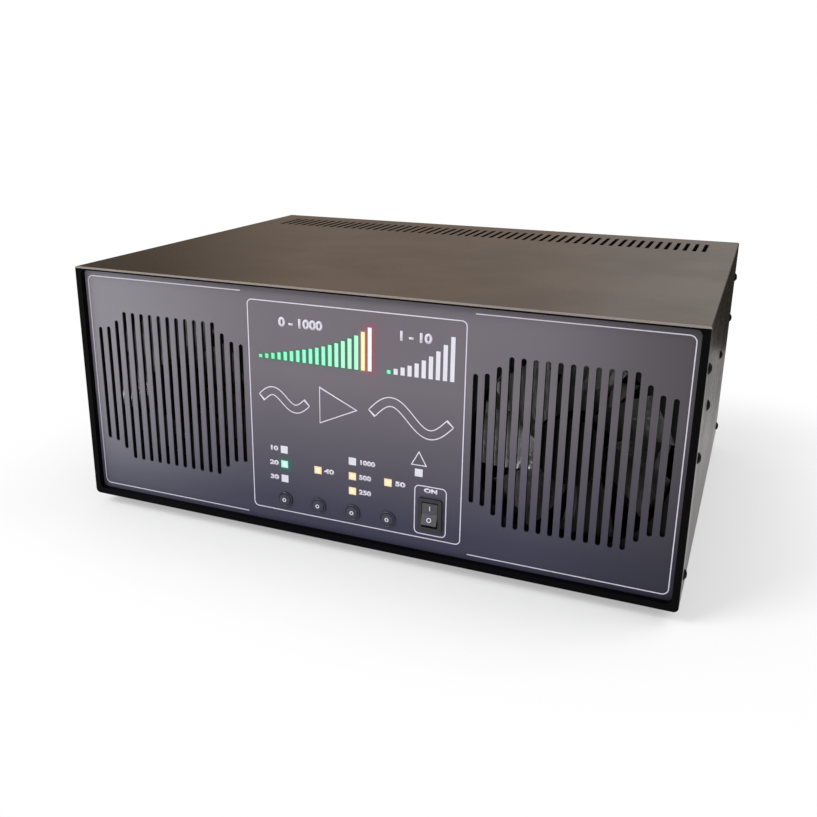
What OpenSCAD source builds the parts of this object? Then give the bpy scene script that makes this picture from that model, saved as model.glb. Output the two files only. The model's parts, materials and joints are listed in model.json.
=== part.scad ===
// Desk-top radio frequency power amplifier in a folded sheet steel case.
// Millimetres. +X is to the right and +Y to the rear, seen from the front, and +Z is up.
// The origin is on the table, under the middle of the whole outline.

/* [Case] */
// Width over the side sheets
case_w = 400; // [390:2:440]
// Depth of the sheets, front rim to rear edge
case_d = 298; // [290:2:340]
// Height of the case without its feet
case_h = 163; // [160:1:180]
// Sheet thickness of cover and tray
sheet = 1.2; // [1:0.1:1.5]
// Height of the seam between tray and cover
seam_z = 98; // [94:1:102]
// Height of the rubber feet
foot_h = 8; // [6:1:12]

/* [Top cover] */
// Number of exhaust slots in the cover
vent_count = 53; // [31:2:53]
// Spacing of the exhaust slots
vent_pitch = 6.83; // [6.5:0.01:6.83]
// Length of an exhaust slot
vent_l = 38; // [20:1:44]
// Width of an exhaust slot
vent_w = 3; // [2:0.1:3.6]
// Distance from the rear edge to the exhaust slots
vent_rear = 21; // [18:1:30]

/* [Front panel] */
// Width of the black rim at the sides and the bottom
rim_w = 4.2; // [3.5:0.1:5]
// Width of the rim along the top
rim_top = 2.2; // [2:0.1:3]
// Depth of the panel behind the rim
recess = 4; // [4:0.1:6]
// Thickness of the printed overlay
overlay_t = 0.5; // [0.3:0.1:0.8]
// Thickness of the steel plate behind the overlay
plate_t = 2; // [1.5:0.1:2.5]
// Distance of a grille's middle from the middle of the case
grille_x = 132; // [130:0.5:134]
// Height of a grille's middle above the case bottom
grille_z = 82; // [80:0.5:84]
// Slots in a grille
grille_count = 17; // [13:2:17]
// Spacing of the grille slots
grille_pitch = 6.85; // [6:0.05:6.85]
// Width of a grille slot
grille_w = 3; // [2:0.1:3.6]

/* [Display] */
// Bars of the power meter
power_count = 18; // [10:1:18]
// Middle of the power meter's first bar
power_x = -62.9; // [-64:0.1:-62]
// Bars of the standing wave meter
swr_count = 10; // [5:1:10]
// Middle of the standing wave meter's first bar
swr_x = 23.9; // [23.5:0.05:25]
// Spacing of the bars
bar_pitch = 4.38; // [4.2:0.01:4.38]
// Width of a bar
bar_w = 2.6; // [2.2:0.1:3.4]
// Height of the meters' base line
bar_z = 115.3; // [112:0.1:116]
// Side of a status lamp's window
lamp = 5; // [4:0.1:5.5]
// Spacing of the columns of status lamps and buttons
lamp_pitch = 24; // [22:0.5:24]
// Height of the lowest status lamp
lamp_z = 35.5; // [35:0.5:37]
// Height of the buttons
button_z = 21; // [20:0.5:22]
// Radius of a button's cap
button_r = 3.9; // [3.5:0.1:4.2]
// How far a button goes in
button_travel = 1.2; // [0.8:0.1:1.5]

/* [Power switch] */
// Distance of the switch from the middle of the case
switch_x = 52; // [50:0.5:54]
// Height of the switch's middle
switch_z = 29.5; // [28:0.5:31]
// Half of the rocker's throw, in degrees
rocker_tilt = 9; // [6:1:11]

/* [Fans] */
// Side of a fan's frame
fan_size = 120; // [119:0.5:120]
// Depth of a fan
fan_d = 25; // [25:1:32]
// Blades of a fan
blade_count = 7; // [5:2:9]
// Spacing of a fan's mounting holes
fan_holes = 105; // [104:0.5:105]

/* [Cooling block] */
// Fins of the cooling block
fin_count = 24; // [16:1:28]
// Width of the cooling block
sink_w = 236; // [200:2:240]
// Length of the cooling block, front to rear
sink_l = 168; // [140:2:170]
// Height of its base plate's underside
sink_z = 52; // [40:1:56]

/* [Hidden] */
$fn = 40;
rear_reach = 18;               // the ground stud ends this far behind the rear edges
y_front = -(case_d + rear_reach) / 2;
eps = 0.01;

in_x = case_w / 2 - sheet;     // inner faces of the side sheets
face_x = case_w / 2 - rim_w;   // edge of the visible panel
face_lo = rim_w;
face_hi = case_h - rim_top;
overlay_y = recess;            // front of the overlay
plate_y = overlay_y + overlay_t;
behind_plate = plate_y + plate_t;
frame_d = 18;                  // depth of the front frame's side bands
tongue_l = 10;                 // reach of its tongues inside the tray and the cover
tongue_t = 2;                  // their thickness
corner_r = 3;                  // corners of the frame and the panel
joint = 0.3;                   // gap where two sheets meet edge to edge
ledge_x = case_w / 2 - 7.6;    // the frame's ledge that carries the plate
fan_y = behind_plate;          // front of the fans
duct_r = 57.5;                 // bore of a fan's frame
hub_r = 20;                    // radius of a fan's hub
shaft_r = 1.5;                 // radius of a fan's shaft
board_y = 14;                  // front of the display board
board_t = 1.6;                 // thickness of the circuit boards
board_x = 69;                  // half of the display board's width

rear_y = case_d - 3;           // inner face of the rear panel
rear_t = 1.5;                  // thickness of the rear panel
outer_y = rear_y + rear_t;     // outer face of the rear panel
flange_d = 15;                 // depth of the rear panel's flanges

screw_front_y = 12;            // the side screws' columns, from the front
screw_rear_y = 290;
screw_front_z = [18, 88, 138];
screw_rear_z = [12, 137];
screw_row_z = 106;
screw_row_y = [50, 165, 282];
side_screws = concat(
    [for (z = screw_front_z) [screw_front_y, z]],
    [for (z = screw_rear_z) [screw_rear_y, z]],
    [for (y = screw_row_y) [y, screw_row_z]]);
screw_r = 1.5;                 // shank of a side screw
screw_head_r = 3.25;
screw_head_h = 1.8;

inlet_x = -160;                // mains inlet module
inlet_z = 30;
drawer_z = 46;
so239_x = [110, 150];          // input and output sockets
so239_z = 44;
phono_x = [52, 70];            // phono jacks
phono_z = 44;
remote_x = 10;                 // remote-control socket
remote_z = 44;
ground_x = -118;               // ground stud
ground_z = 26;
ground_shank_r = 4;
ground_end_r = 3;
rear_vent_x = [-72, 72];       // groups of exhaust slots in the rear panel
rear_vent_z = 108;
rear_vent_l = 52;
rear_vent_count = 18;

foot_x = 155;
foot_y = [45, 255];
foot_r = 10.5;

sink_x = 62;                   // middle of the cooling block
sink_y = 48;                   // its front
sink_t = 10;                   // thickness of its base plate
fin_t = 1.8;
base_top = sink_z + sink_t;

supply_lo = [-190, 48];        // corners of the power supply's board
supply_hi = [-74, 262];

// Shared shapes ---------------------------------------------------------------------------

// Moves a piece drawn from the case's front bottom edge into the part's own frame.
module in_case() {
    translate([0, y_front, foot_h]) children();
}

// A box between two corners.
module span(lo, hi) {
    translate(lo) cube(hi - lo);
}

// A plate that stands square to Y, from an outline drawn in X and Z.
module upright(y, t) {
    translate([0, y + t, 0]) rotate([90, 0, 0]) linear_extrude(t) children();
}

// A rod along Y between two places.
module rod_y(r, y0, y1) {
    translate([0, y1, 0]) rotate([90, 0, 0]) cylinder(h = y1 - y0, r = r);
}

// A rod along X between two places.
module rod_x(r, x0, x1) {
    translate([x0, 0, 0]) rotate([0, 90, 0]) cylinder(h = x1 - x0, r = r);
}

// A slot with round ends that stands on end.
module slot_2d(l, w) {
    translate([-w / 2, -(l - w) / 2]) square([w, l - w]);
    for (s = [-1, 1]) translate([0, s * (l - w) / 2]) circle(w / 2);
}

// A rectangle with its low and high corners rounded.
module rounded_2d(lo, hi, low_r, high_r) {
    w = hi[0] - lo[0];
    translate([lo[0], lo[1] + low_r]) square([w, hi[1] - lo[1] - low_r - high_r]);
    translate([lo[0] + low_r, lo[1]]) square([w - 2 * low_r, low_r + eps]);
    translate([lo[0] + high_r, hi[1] - high_r - eps]) square([w - 2 * high_r, high_r + eps]);
    for (x = [lo[0] + low_r, hi[0] - low_r]) translate([x, lo[1] + low_r]) circle(low_r);
    for (x = [lo[0] + high_r, hi[0] - high_r]) translate([x, hi[1] - high_r]) circle(high_r);
}

// The side screws' holes, drilled through both sides.
module side_holes(r) {
    for (p = side_screws) translate([0, p[0], p[1]]) rod_x(r, -case_w, case_w);
}

// A nut along Y.
module nut_y(across, y0, y1) {
    translate([0, y1, 0]) rotate([90, 0, 0]) cylinder(h = y1 - y0, d = across / cos(30), $fn = 6);
}

// Case --------------------------------------------------------------------------------------

module bottom_tray() {
    bend_r = 3;
    flange_lo = seam_z - 4;
    flange_hi = seam_z + 15;
    front = frame_d + joint;
    flange_front = front + tongue_l + 1;
    color("dimgray") in_case() difference() {
        union() {
            // Floor and sides, bent from one sheet.
            upright(front, case_d - front) difference() {
                rounded_2d([-case_w / 2, 0], [case_w / 2, seam_z], bend_r, eps);
                rounded_2d([-in_x, sheet], [in_x, seam_z + 1], bend_r - sheet, eps);
            }
            // The flange that laps up inside the cover, stepped in by one sheet.
            for (s = [-1, 1]) scale([s, 1, 1]) {
                span([in_x - sheet, flange_front, flange_lo], [in_x, rear_y - flange_d - 2, flange_hi]);
            }
        }
        side_holes(screw_r + 0.2);
        for (x = [-foot_x, foot_x], y = foot_y) translate([x, y, -1]) cylinder(h = 4, r = 2.2);
    }
}

module top_cover() {
    bend_r = 1.2;
    side_lo = seam_z + joint;
    color("darkslategray") in_case() difference() {
        union() {
            // The top runs over the front frame.
            upright(0, case_d) difference() {
                rounded_2d([-case_w / 2, case_h - 3 * sheet], [case_w / 2, case_h], eps, bend_r);
                translate([-case_w, case_h - 4 * sheet]) square([2 * case_w, 3 * sheet]);
            }
            // The sides start behind it.
            upright(frame_d + joint, case_d - frame_d - joint) difference() {
                rounded_2d([-case_w / 2, side_lo], [case_w / 2, case_h], eps, bend_r);
                translate([-in_x, side_lo - 1]) square([2 * in_x, case_h - sheet - side_lo + 1]);
            }
        }
        // Row of exhaust slots along the rear edge.
        translate([0, case_d - vent_rear - vent_l / 2, case_h - sheet - 1]) linear_extrude(sheet + 2) {
            for (i = [0 : vent_count - 1]) {
                translate([(i - (vent_count - 1) / 2) * vent_pitch, 0]) slot_2d(vent_l, vent_w);
            }
        }
        side_holes(screw_r + 0.2);
    }
}

// The rim round the panel, with side bands that the tray and the cover meet edge to edge.
module front_frame() {
    top_band = 8;
    bottom_band = 10;
    color("black") in_case() difference() {
        union() {
            upright(0, frame_d) {
                rounded_2d([-case_w / 2, 0], [case_w / 2, case_h - sheet], corner_r, eps);
            }
            // Tongues that reach inside the tray and the cover.
            for (s = [-1, 1]) scale([s, 1, 1]) {
                span([in_x - tongue_t, frame_d - 1, 12], [in_x, frame_d + tongue_l, case_h - top_band]);
            }
            span([-ledge_x, frame_d - 1, sheet], [ledge_x, frame_d + tongue_l, sheet + tongue_t]);
        }
        upright(-1, frame_d + 1.5) {
            rounded_2d([-ledge_x, bottom_band], [ledge_x, case_h - top_band], corner_r, corner_r);
        }
        // The mouth in which the panel lies.
        upright(-1, behind_plate + 1) {
            rounded_2d([-face_x, face_lo], [face_x, face_hi], corner_r, corner_r);
        }
        side_holes(screw_r);
    }
}

// Front panel -------------------------------------------------------------------------------

// Lengths of the grille slots: three short ones at each side of the long ones.
end_slots = [80, 82, 91.5];
long_slot = 104.4;
function grille_l(i) = let (from_end = min(i, grille_count - 1 - i))
    from_end < len(end_slots) ? end_slots[from_end] : long_slot;
function grille_slot_x(i) = (i - (grille_count - 1) / 2) * grille_pitch;

// Heights of the bars, rising faster to the right.
function power_h(i) = 2.1 + 0.85 * i + 0.000122 * pow(i, 4);
function swr_h(i) = 2.3 + 1.25 * i + 0.018 * pow(i, 3);

module grilles_2d() {
    for (s = [-1, 1], i = [0 : grille_count - 1]) {
        translate([s * grille_x + grille_slot_x(i), grille_z]) slot_2d(grille_l(i), grille_w);
    }
}

module power_bar_2d(i) {
    translate([power_x + i * bar_pitch - bar_w / 2, bar_z]) square([bar_w, power_h(i)]);
}

module swr_bar_2d(i) {
    translate([swr_x + i * bar_pitch - bar_w / 2, bar_z]) square([bar_w, swr_h(i)]);
}

// Status lamps by column and row, and the warning lamp beside them.
dark_lamps = [[-2, 2], [-2, 0], [0, 2]];
green_lamps = [[-2, 1]];
amber_lamps = [[-1, 1], [0, 1], [0, 0], [1, 1]];
alarm_x = 44;
row_pitch = 10;

module lamp_2d(at) {
    translate([at[0] * lamp_pitch, lamp_z + at[1] * row_pitch]) square(lamp, center = true);
}

module alarm_2d() {
    translate([alarm_x, lamp_z + 2 * row_pitch]) square(lamp, center = true);
}

module windows_2d() {
    for (i = [0 : power_count - 1]) power_bar_2d(i);
    for (i = [0 : swr_count - 1]) swr_bar_2d(i);
    for (at = concat(dark_lamps, green_lamps, amber_lamps)) lamp_2d(at);
    alarm_2d();
}

function button_x(i) = (i - 2) * lamp_pitch;
ring_bore = button_r + 0.3;
ring_r = ring_bore + 1;
stem_r = 1.7;
stem_end = board_y - 2.8;

module panel_holes_2d(grip) {
    grilles_2d();
    windows_2d();
    for (i = [0 : 3]) translate([button_x(i), button_z]) circle(grip);
    translate([switch_x, switch_z]) square([13.2, 19.2], center = true);
}

module front_plate() {
    color("gray") in_case() upright(plate_y, plate_t) difference() {
        rounded_2d([-face_x, face_lo], [face_x, face_hi], corner_r, corner_r);
        panel_holes_2d(ring_bore + 0.5);
    }
}

module front_overlay() {
    color("dimgray") in_case() upright(overlay_y, overlay_t) difference() {
        rounded_2d([-face_x, face_lo], [face_x, face_hi], corner_r, corner_r);
        panel_holes_2d(ring_bore + 0.5);
    }
}

// Light guides run from the board's lamps to the face of the overlay.
module guides() {
    upright(overlay_y, board_y - overlay_y - 1) children();
}

module power_bars_green() {
    color("aquamarine") in_case() guides() for (i = [0 : power_count - 3]) power_bar_2d(i);
}

module power_bar_amber() {
    color("moccasin") in_case() guides() power_bar_2d(power_count - 2);
}

module power_bar_red() {
    color("tomato") in_case() guides() power_bar_2d(power_count - 1);
}

module swr_bar_green() {
    color("aquamarine") in_case() guides() swr_bar_2d(0);
}

module swr_bars_dark() {
    color("lightgray") in_case() guides() for (i = [1 : swr_count - 1]) swr_bar_2d(i);
}

module status_lenses_dark() {
    color("lightgray") in_case() guides() {
        for (at = dark_lamps) lamp_2d(at);
        alarm_2d();
    }
}

module status_lens_green() {
    color("aquamarine") in_case() guides() for (at = green_lamps) lamp_2d(at);
}

module status_lenses_amber() {
    color("khaki") in_case() guides() for (at = amber_lamps) lamp_2d(at);
}

// Collars in which the buttons slide.
module button_rings() {
    color("black") in_case() for (i = [0 : 3]) translate([button_x(i), 0, button_z]) difference() {
        union() {
            rod_y(ring_bore + 0.5, overlay_y - 0.8, behind_plate);
            rod_y(ring_r, overlay_y - 0.8, overlay_y);
        }
        rod_y(ring_bore, 0, behind_plate + 1);
    }
}

// A domed cap on a stem, with the collar that keeps it behind the plate.
module push_button(i) {
    dome_y = overlay_y - 1.8;
    dome_r = 12;
    flange_y = behind_plate + 0.3;
    flange_t = 1;
    color("black") in_case() translate([button_x(i), 0, button_z]) {
        intersection() {
            rod_y(button_r, dome_y, flange_y + flange_t);
            translate([0, dome_y + dome_r, 0]) sphere(dome_r, $fn = 64);
        }
        rod_y(ring_bore + 0.4, flange_y, flange_y + flange_t);
        rod_y(stem_r, flange_y, stem_end);
    }
}

module button_1() { push_button(0); }
module button_2() { push_button(1); }
module button_3() { push_button(2); }
module button_4() { push_button(3); }

// Power switch ------------------------------------------------------------------------------

rocker_y = 6;                  // pivot, from the rim
rocker_r = 8.1;                // the rocker's round ends
rocker_half = 4.9;             // half of its width
housing_half = [6.5, 9.5];     // half sizes of the housing behind the panel
cavity_half = [5.2, 8.45];
pin_r = 1;

module switch_housing() {
    bezel = [7.5, 10.5];
    deep = 22;
    color("black") in_case() translate([switch_x, 0, switch_z]) difference() {
        union() {
            upright(overlay_y - 1.6, 1.6) rounded_2d(-bezel, bezel, 1, 1);
            upright(overlay_y, deep - overlay_y) square(2 * housing_half, center = true);
            for (x = [-3.5, 3.5]) span([x - 0.4, deep - 1, -3], [x + 0.4, deep + 6, 3]);
        }
        upright(0, rocker_y + rocker_r + 0.5) square(2 * cavity_half, center = true);
        translate([0, rocker_y, 0]) rod_x(pin_r + 0.06, -housing_half[0] + 0.3, housing_half[0] - 0.3);
    }
}

// Two flat faces meet in a shallow valley at the middle, and the ends are round about the pivot.
module rocker_2d() {
    front = rocker_y - overlay_y + 1.4;
    back = 3;
    crest = front + tan(rocker_tilt) * rocker_r;
    intersection() {
        circle(rocker_r, $fn = 96);
        polygon([[-front, 0], [-crest, rocker_r], [back, rocker_r], [back, -rocker_r], [-crest, -rocker_r]]);
    }
}

module power_rocker() {
    color("black") in_case() translate([switch_x, rocker_y, switch_z]) {
        rotate([-rocker_tilt, 0, 0]) rotate([90, 0, 90]) {
            translate([0, 0, -rocker_half]) linear_extrude(2 * rocker_half) rocker_2d();
        }
        rod_x(pin_r, -housing_half[0] + 0.5, housing_half[0] - 0.5);
    }
}

// Display board -----------------------------------------------------------------------------

board_lo = 10;
board_hi = 150;
spacer_z = [16, 146];
spacer_x = 66;

module display_board() {
    color("darkgreen") in_case() upright(board_y, board_t) difference() {
        translate([-board_x, board_lo]) square([2 * board_x, board_hi - board_lo]);
        translate([switch_x, switch_z]) square([14, 20], center = true);
        for (x = [-spacer_x, spacer_x], z = spacer_z) translate([x, z]) circle(1.6);
    }
}

module key_switches() {
    body = 3;
    color("silver") in_case() for (i = [0 : 3]) translate([button_x(i), 0, button_z]) difference() {
        span([-body, board_y - 3.5, -body], [body, board_y, body]);
        rod_y(stem_r + 0.15, board_y - 4, stem_end + button_travel + 0.4);
    }
}

module board_spacers() {
    color("goldenrod") in_case() for (x = [-spacer_x, spacer_x], z = spacer_z) translate([x, 0, z]) {
        nut_y(5, behind_plate, board_y);
        rod_y(1.5, board_y, board_y + board_t + 0.5);
        rod_y(2.8, board_y + board_t, board_y + board_t + 1.8);
    }
}

// Fans --------------------------------------------------------------------------------------

strut_t = 3.5;
motor_r = 21;
bearing_r = 4;

module fan_frame() {
    flange = 4;
    corner = 5;
    half = fan_size / 2;
    color("dimgray") difference() {
        union() {
            for (y = [0, fan_d - flange]) upright(y, flange) difference() {
                rounded_2d([-half, -half], [half, half], corner, corner);
                circle(duct_r, $fn = 128);
            }
            // The duct between the two flanges.
            difference() {
                rod_y(half - 0.6, flange, fan_d - flange, $fn = 128);
                rod_y(duct_r, 0, fan_d, $fn = 128);
            }
            // Four struts hold the motor's seat at the rear.
            for (a = [45 : 90 : 315]) rotate([0, a, 0]) {
                span([motor_r - 2, fan_d - strut_t, -2.5], [duct_r + 0.5, fan_d, 2.5]);
            }
            rod_y(motor_r, fan_d - strut_t, fan_d);
            rod_y(bearing_r, 6, fan_d);
        }
        rod_y(shaft_r + 0.05, 5, fan_d - 1.5);
        for (x = [-1, 1], z = [-1, 1]) translate([x * fan_holes / 2, 0, z * fan_holes / 2]) {
            rod_y(2.15, -1, fan_d + 1);
        }
    }
}

// One section of a blade: a thin cambered profile wrapped on a cylinder of radius r.
sections = 7;
profile_n = 6;
tip_r = duct_r - 1.2;

function chord(q) = 30 + 9 * q;
function pitch(q) = 47 - 20 * q;
function profile(k) = let (t = k <= profile_n ? k / profile_n : (2 * profile_n - k) / profile_n)
    [t, 0.11 * 4 * t * (1 - t), (k <= profile_n ? 1 : -1) * 0.045 * sin(180 * pow(t, 0.7))];
function blade_point(r, q, k) = let (
        p = profile(k),
        along = (p[0] - 0.5) * chord(q),
        off = (p[1] + p[2]) * chord(q),
        u = along * cos(pitch(q)) - off * sin(pitch(q)),
        v = along * sin(pitch(q)) + off * cos(pitch(q)),
        a = u / r * 180 / PI + 14 * q)
    [r * sin(a), 11.2 + v * 0.62, r * cos(a)];

module blade() {
    n = 2 * profile_n;
    points = [for (s = [0 : sections - 1], k = [0 : n - 1])
        let (q = s / (sections - 1)) blade_point(hub_r - 1.5 + q * (tip_r - hub_r + 1.5), q, k)];
    sides = [for (s = [0 : sections - 2], k = [0 : n - 1], h = [0, 1])
        let (a = s * n + k, b = s * n + (k + 1) % n)
        h == 0 ? [a, b, a + n] : [b, b + n, a + n]];
    last = (sections - 1) * n;
    root = [for (k = [1 : n - 2]) [0, k + 1, k]];
    tip = [for (k = [1 : n - 2]) [last, last + k, last + k + 1]];
    polyhedron(points, concat(sides, root, tip));
}

module fan_rotor() {
    cup_y = 1.5;
    cup_end = 19.5;
    color("lightgray") {
        difference() {
            union() {
                rod_y(hub_r, cup_y, cup_end);
                for (b = [0 : blade_count - 1]) rotate([0, b * 360 / blade_count, 0]) blade();
            }
            rod_y(hub_r - 2, cup_y + 2, cup_end + 1);
        }
        rod_y(shaft_r, cup_y + 1, fan_d - 2);
    }
}

module at_fan(s) {
    in_case() translate([s * grille_x, fan_y, grille_z]) children();
}

module fan_frame_left() { at_fan(-1) fan_frame(); }
module fan_frame_right() { at_fan(1) fan_frame(); }
module fan_rotor_left() { at_fan(-1) fan_rotor(); }
module fan_rotor_right() { at_fan(1) fan_rotor(); }

// The windings' core around each bearing tube.
module fan_stators() {
    color("peru") for (s = [-1, 1]) at_fan(s) difference() {
        union() {
            rod_y(15, 8, 18);
            for (a = [0 : 40 : 320]) rotate([0, a, 0]) span([14, 9, -2], [16.8, 17, 2]);
        }
        rod_y(bearing_r, 7, 19);
    }
}

module fan_studs() {
    color("silver") for (s = [-1, 1], x = [-1, 1], z = [-1, 1]) {
        at_fan(s) translate([x * fan_holes / 2, 0, z * fan_holes / 2]) rod_y(2, 0, fan_d + 6);
    }
}

module fan_nuts() {
    color("silver") for (s = [-1, 1], x = [-1, 1], z = [-1, 1]) {
        at_fan(s) translate([x * fan_holes / 2, 0, z * fan_holes / 2]) difference() {
            nut_y(7, fan_d, fan_d + 3.2);
            rod_y(2, fan_d - 1, fan_d + 4);
        }
    }
}

// Cooling block and boards ------------------------------------------------------------------

module cooling_block() {
    fin_pitch = (sink_w - fin_t) / (fin_count - 1);
    fin_lo = 10;
    color("gainsboro") in_case() translate([sink_x, 0, 0]) upright(sink_y, sink_l) {
        translate([-sink_w / 2, sink_z]) square([sink_w, sink_t]);
        for (i = [0 : fin_count - 1]) {
            x = -sink_w / 2 + i * fin_pitch;
            outer = i == 0 || i == fin_count - 1;
            lo = outer ? sheet : fin_lo;
            thin = outer ? 0 : 0.3;
            polygon([[x, sink_z + 1], [x + thin, lo], [x + fin_t - thin, lo], [x + fin_t, sink_z + 1]]);
        }
        // Feet of the two outer fins.
        for (s = [-1, 1]) translate([s * (sink_w / 2 - 4) - 4, sheet]) square([8, 3]);
    }
}

transistor_x = [-66, -22, 22, 66];
transistor_y = sink_y + 70;

module rf_board() {
    color("darkgreen") in_case() translate([sink_x, 0, base_top]) linear_extrude(board_t) difference() {
        translate([-sink_w / 2 + 6, sink_y + 6]) square([sink_w - 12, sink_l - 12]);
        for (x = transistor_x) translate([x, transistor_y]) square([35, 11], center = true);
    }
}

module power_transistors() {
    color("goldenrod") in_case() for (x = transistor_x) translate([sink_x + x, transistor_y, base_top]) {
        difference() {
            translate([-17, -5, 0]) cube([34, 10, 1.6]);
            for (s = [-1, 1]) translate([s * 14, 0, -1]) cylinder(h = 4, r = 1.6);
        }
        translate([-10, -4.5, 1.6]) cube([20, 9, 3.4]);
        for (x1 = [-6, 6], s = [-1, 1]) translate([x1 - 3, s > 0 ? 4.5 : -10, 1.8]) cube([6, 5.5, 0.3]);
    }
}

// Pairs of ferrite tubes with end plates.
module ferrite_transformers() {
    color("darkslategray") in_case() for (p = [[-44, 34, 1], [44, 34, 1], [-44, 118, 1.5], [44, 118, 1.5]]) {
        r = 7 * p[2];
        l = 26 * p[2];
        apart = r + 0.4;
        translate([sink_x + p[0], sink_y + p[1], base_top + board_t + r]) difference() {
            union() {
                for (s = [-1, 1]) {
                    translate([s * apart, 0, 0]) rod_y(r - 0.2, -l / 2, l / 2);
                    span([-2 * r, s * (l / 2 + 0.5) - 0.6, -r], [2 * r, s * (l / 2 + 0.5) + 0.5, r]);
                }
            }
            for (s = [-1, 1]) translate([s * apart, 0, 0]) rod_y(r * 0.45, -l, l);
        }
    }
}

// Places of the posts near a board's corners.
module at_corners(lo, hi) {
    inset = 6;
    for (x = [lo[0] + inset, hi[0] - inset], y = [lo[1] + inset, hi[1] - inset]) translate([x, y]) children();
}

post_screw_r = 1.5;

// A post on the tray's floor that carries a board at height z, with its screw.
module board_post(z) {
    translate([0, 0, sheet]) cylinder(h = z - sheet, r = 2 * post_screw_r);
    translate([0, 0, z]) cylinder(h = board_t + 1, r = post_screw_r);
    translate([0, 0, z + board_t]) cylinder(h = 2, r = 2.8);
}

filter_lo = [-36, 222];        // corners of the filter board
filter_hi = [188, 276];
filter_z = 64;

module filter_board() {
    color("darkgreen") in_case() translate([0, 0, filter_z]) linear_extrude(board_t) difference() {
        translate(filter_lo) square(filter_hi - filter_lo);
        at_corners(filter_lo, filter_hi) circle(post_screw_r + 0.1);
    }
}

module filter_posts() {
    color("goldenrod") in_case() at_corners(filter_lo, filter_hi) board_post(filter_z);
}

module filter_toroids() {
    color("firebrick") in_case() for (i = [0 : 5]) {
        translate([-14 + i * 34, 237, filter_z + board_t]) {
            difference() {
                cylinder(h = 9, r = 12);
                translate([0, 0, -1]) cylinder(h = 11, r = 6);
            }
        }
    }
}

module band_relays() {
    color("royalblue") in_case() for (i = [0 : 6]) {
        translate([-16 + i * 29, 254, filter_z + board_t]) cube([16, 18, 15]);
    }
}

supply_z = 12;

module supply_board() {
    color("darkgreen") in_case() translate([0, 0, supply_z]) linear_extrude(board_t) difference() {
        translate(supply_lo) square(supply_hi - supply_lo);
        at_corners(supply_lo, supply_hi) circle(post_screw_r + 0.1);
    }
}

module supply_posts() {
    color("goldenrod") in_case() at_corners(supply_lo, supply_hi) board_post(supply_z);
}

// Winding between the two halves of a ferrite core.
module supply_transformer() {
    color("orange") in_case() translate([-132, 120, supply_z + board_t]) {
        for (s = [-1, 1]) translate([-26, s > 0 ? 26 : -38, 6]) cube([52, 12, 44]);
        translate([-26, -26, 6]) cube([52, 52, 8]);
        translate([-26, -26, 42]) cube([52, 52, 8]);
        translate([0, 0, 14]) cylinder(h = 28, r = 24);
        translate([-22, -34, 0]) cube([44, 68, 6]);
    }
}

module supply_capacitors() {
    color("midnightblue") in_case() for (x = [-164, -132, -100], y = [186, 222]) {
        translate([x, y, supply_z + board_t]) {
            cylinder(h = 45, r = 14);
            translate([0, 0, 45]) cylinder(h = 0.6, r = 12);
        }
    }
}

// Rear ------------------------------------------------------------------------------------

so239_pitch = 18.2;

module rear_panel() {
    color("dimgray") in_case() difference() {
        union() {
            upright(rear_y, rear_t) difference() {
                rounded_2d([-in_x, sheet], [in_x, case_h - sheet], 1.8, eps);
                for (s = rear_vent_x, i = [0 : rear_vent_count - 1]) {
                    translate([s + (i - (rear_vent_count - 1) / 2) * grille_pitch, rear_vent_z]) {
                        slot_2d(rear_vent_l, grille_w);
                    }
                }
                translate([inlet_x, inlet_z + module_rise]) square(2 * inlet_body, center = true);
                for (x = so239_x) translate([x, so239_z]) {
                    circle(6);
                    for (h = [-1, 1], v = [-1, 1]) translate([h, v] * so239_pitch / 2) circle(1.6);
                }
                for (x = phono_x) translate([x, phono_z]) circle(3.2);
                translate([remote_x, remote_z]) square([20, 11], center = true);
                for (h = [-1, 1]) translate([remote_x + h * 12.5, remote_z]) circle(1.6);
                translate([ground_x, ground_z]) circle(ground_shank_r + 0.1);
            }
            // Flanges folded forward for the side screws.
            for (s = [-1, 1]) scale([s, 1, 1]) {
                span([in_x - sheet, rear_y - flange_d, 5], [in_x, rear_y, case_h - 5]);
            }
            span([-in_x + 10, rear_y - flange_d, case_h - 2 * sheet], [in_x - 10, rear_y, case_h - sheet]);
        }
        side_holes(screw_r);
    }
}

module_rise = 8;               // the module's middle above the inlet's
inlet_half = [15.5, 20];
inlet_body = [13.7, 18.2];
inlet_back = outer_y - 22;
inlet_face = outer_y + 2.5;
bay_half = [11.2, 4.4];

// Cavity outline of the mains inlet, with its two slanted corners.
module inlet_2d() {
    w = 12.2;
    h = 8.2;
    cut = 4.5;
    polygon([[-w, -h], [w, -h], [w, h - cut], [w - cut, h], [-w + cut, h], [-w, h - cut]]);
}

module mains_inlet() {
    color("black") in_case() translate([inlet_x, 0, inlet_z + module_rise]) difference() {
        union() {
            upright(outer_y, 2.5) rounded_2d(-inlet_half, inlet_half, 2, 2);
            upright(inlet_back, outer_y - inlet_back) square(2 * inlet_body, center = true);
        }
        translate([0, 0, -module_rise]) upright(inlet_face - 17, 18) inlet_2d();
        translate([0, 0, drawer_z - inlet_z - module_rise]) upright(inlet_face - 19, 20) {
            square(2 * bay_half, center = true);
        }
        translate([0, 0, -module_rise]) inlet_pins_at();
    }
}

pin_places = [[-7, -2], [0, 2], [7, -2]];

module inlet_pins_at() {
    for (p = pin_places) span([p[0] - 1, inlet_back - 6, p[1] - 2], [p[0] + 1, inlet_face - 5.5, p[1] + 2]);
}

module inlet_pins() {
    color("silver") in_case() translate([inlet_x, 0, inlet_z]) inlet_pins_at();
}

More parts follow.
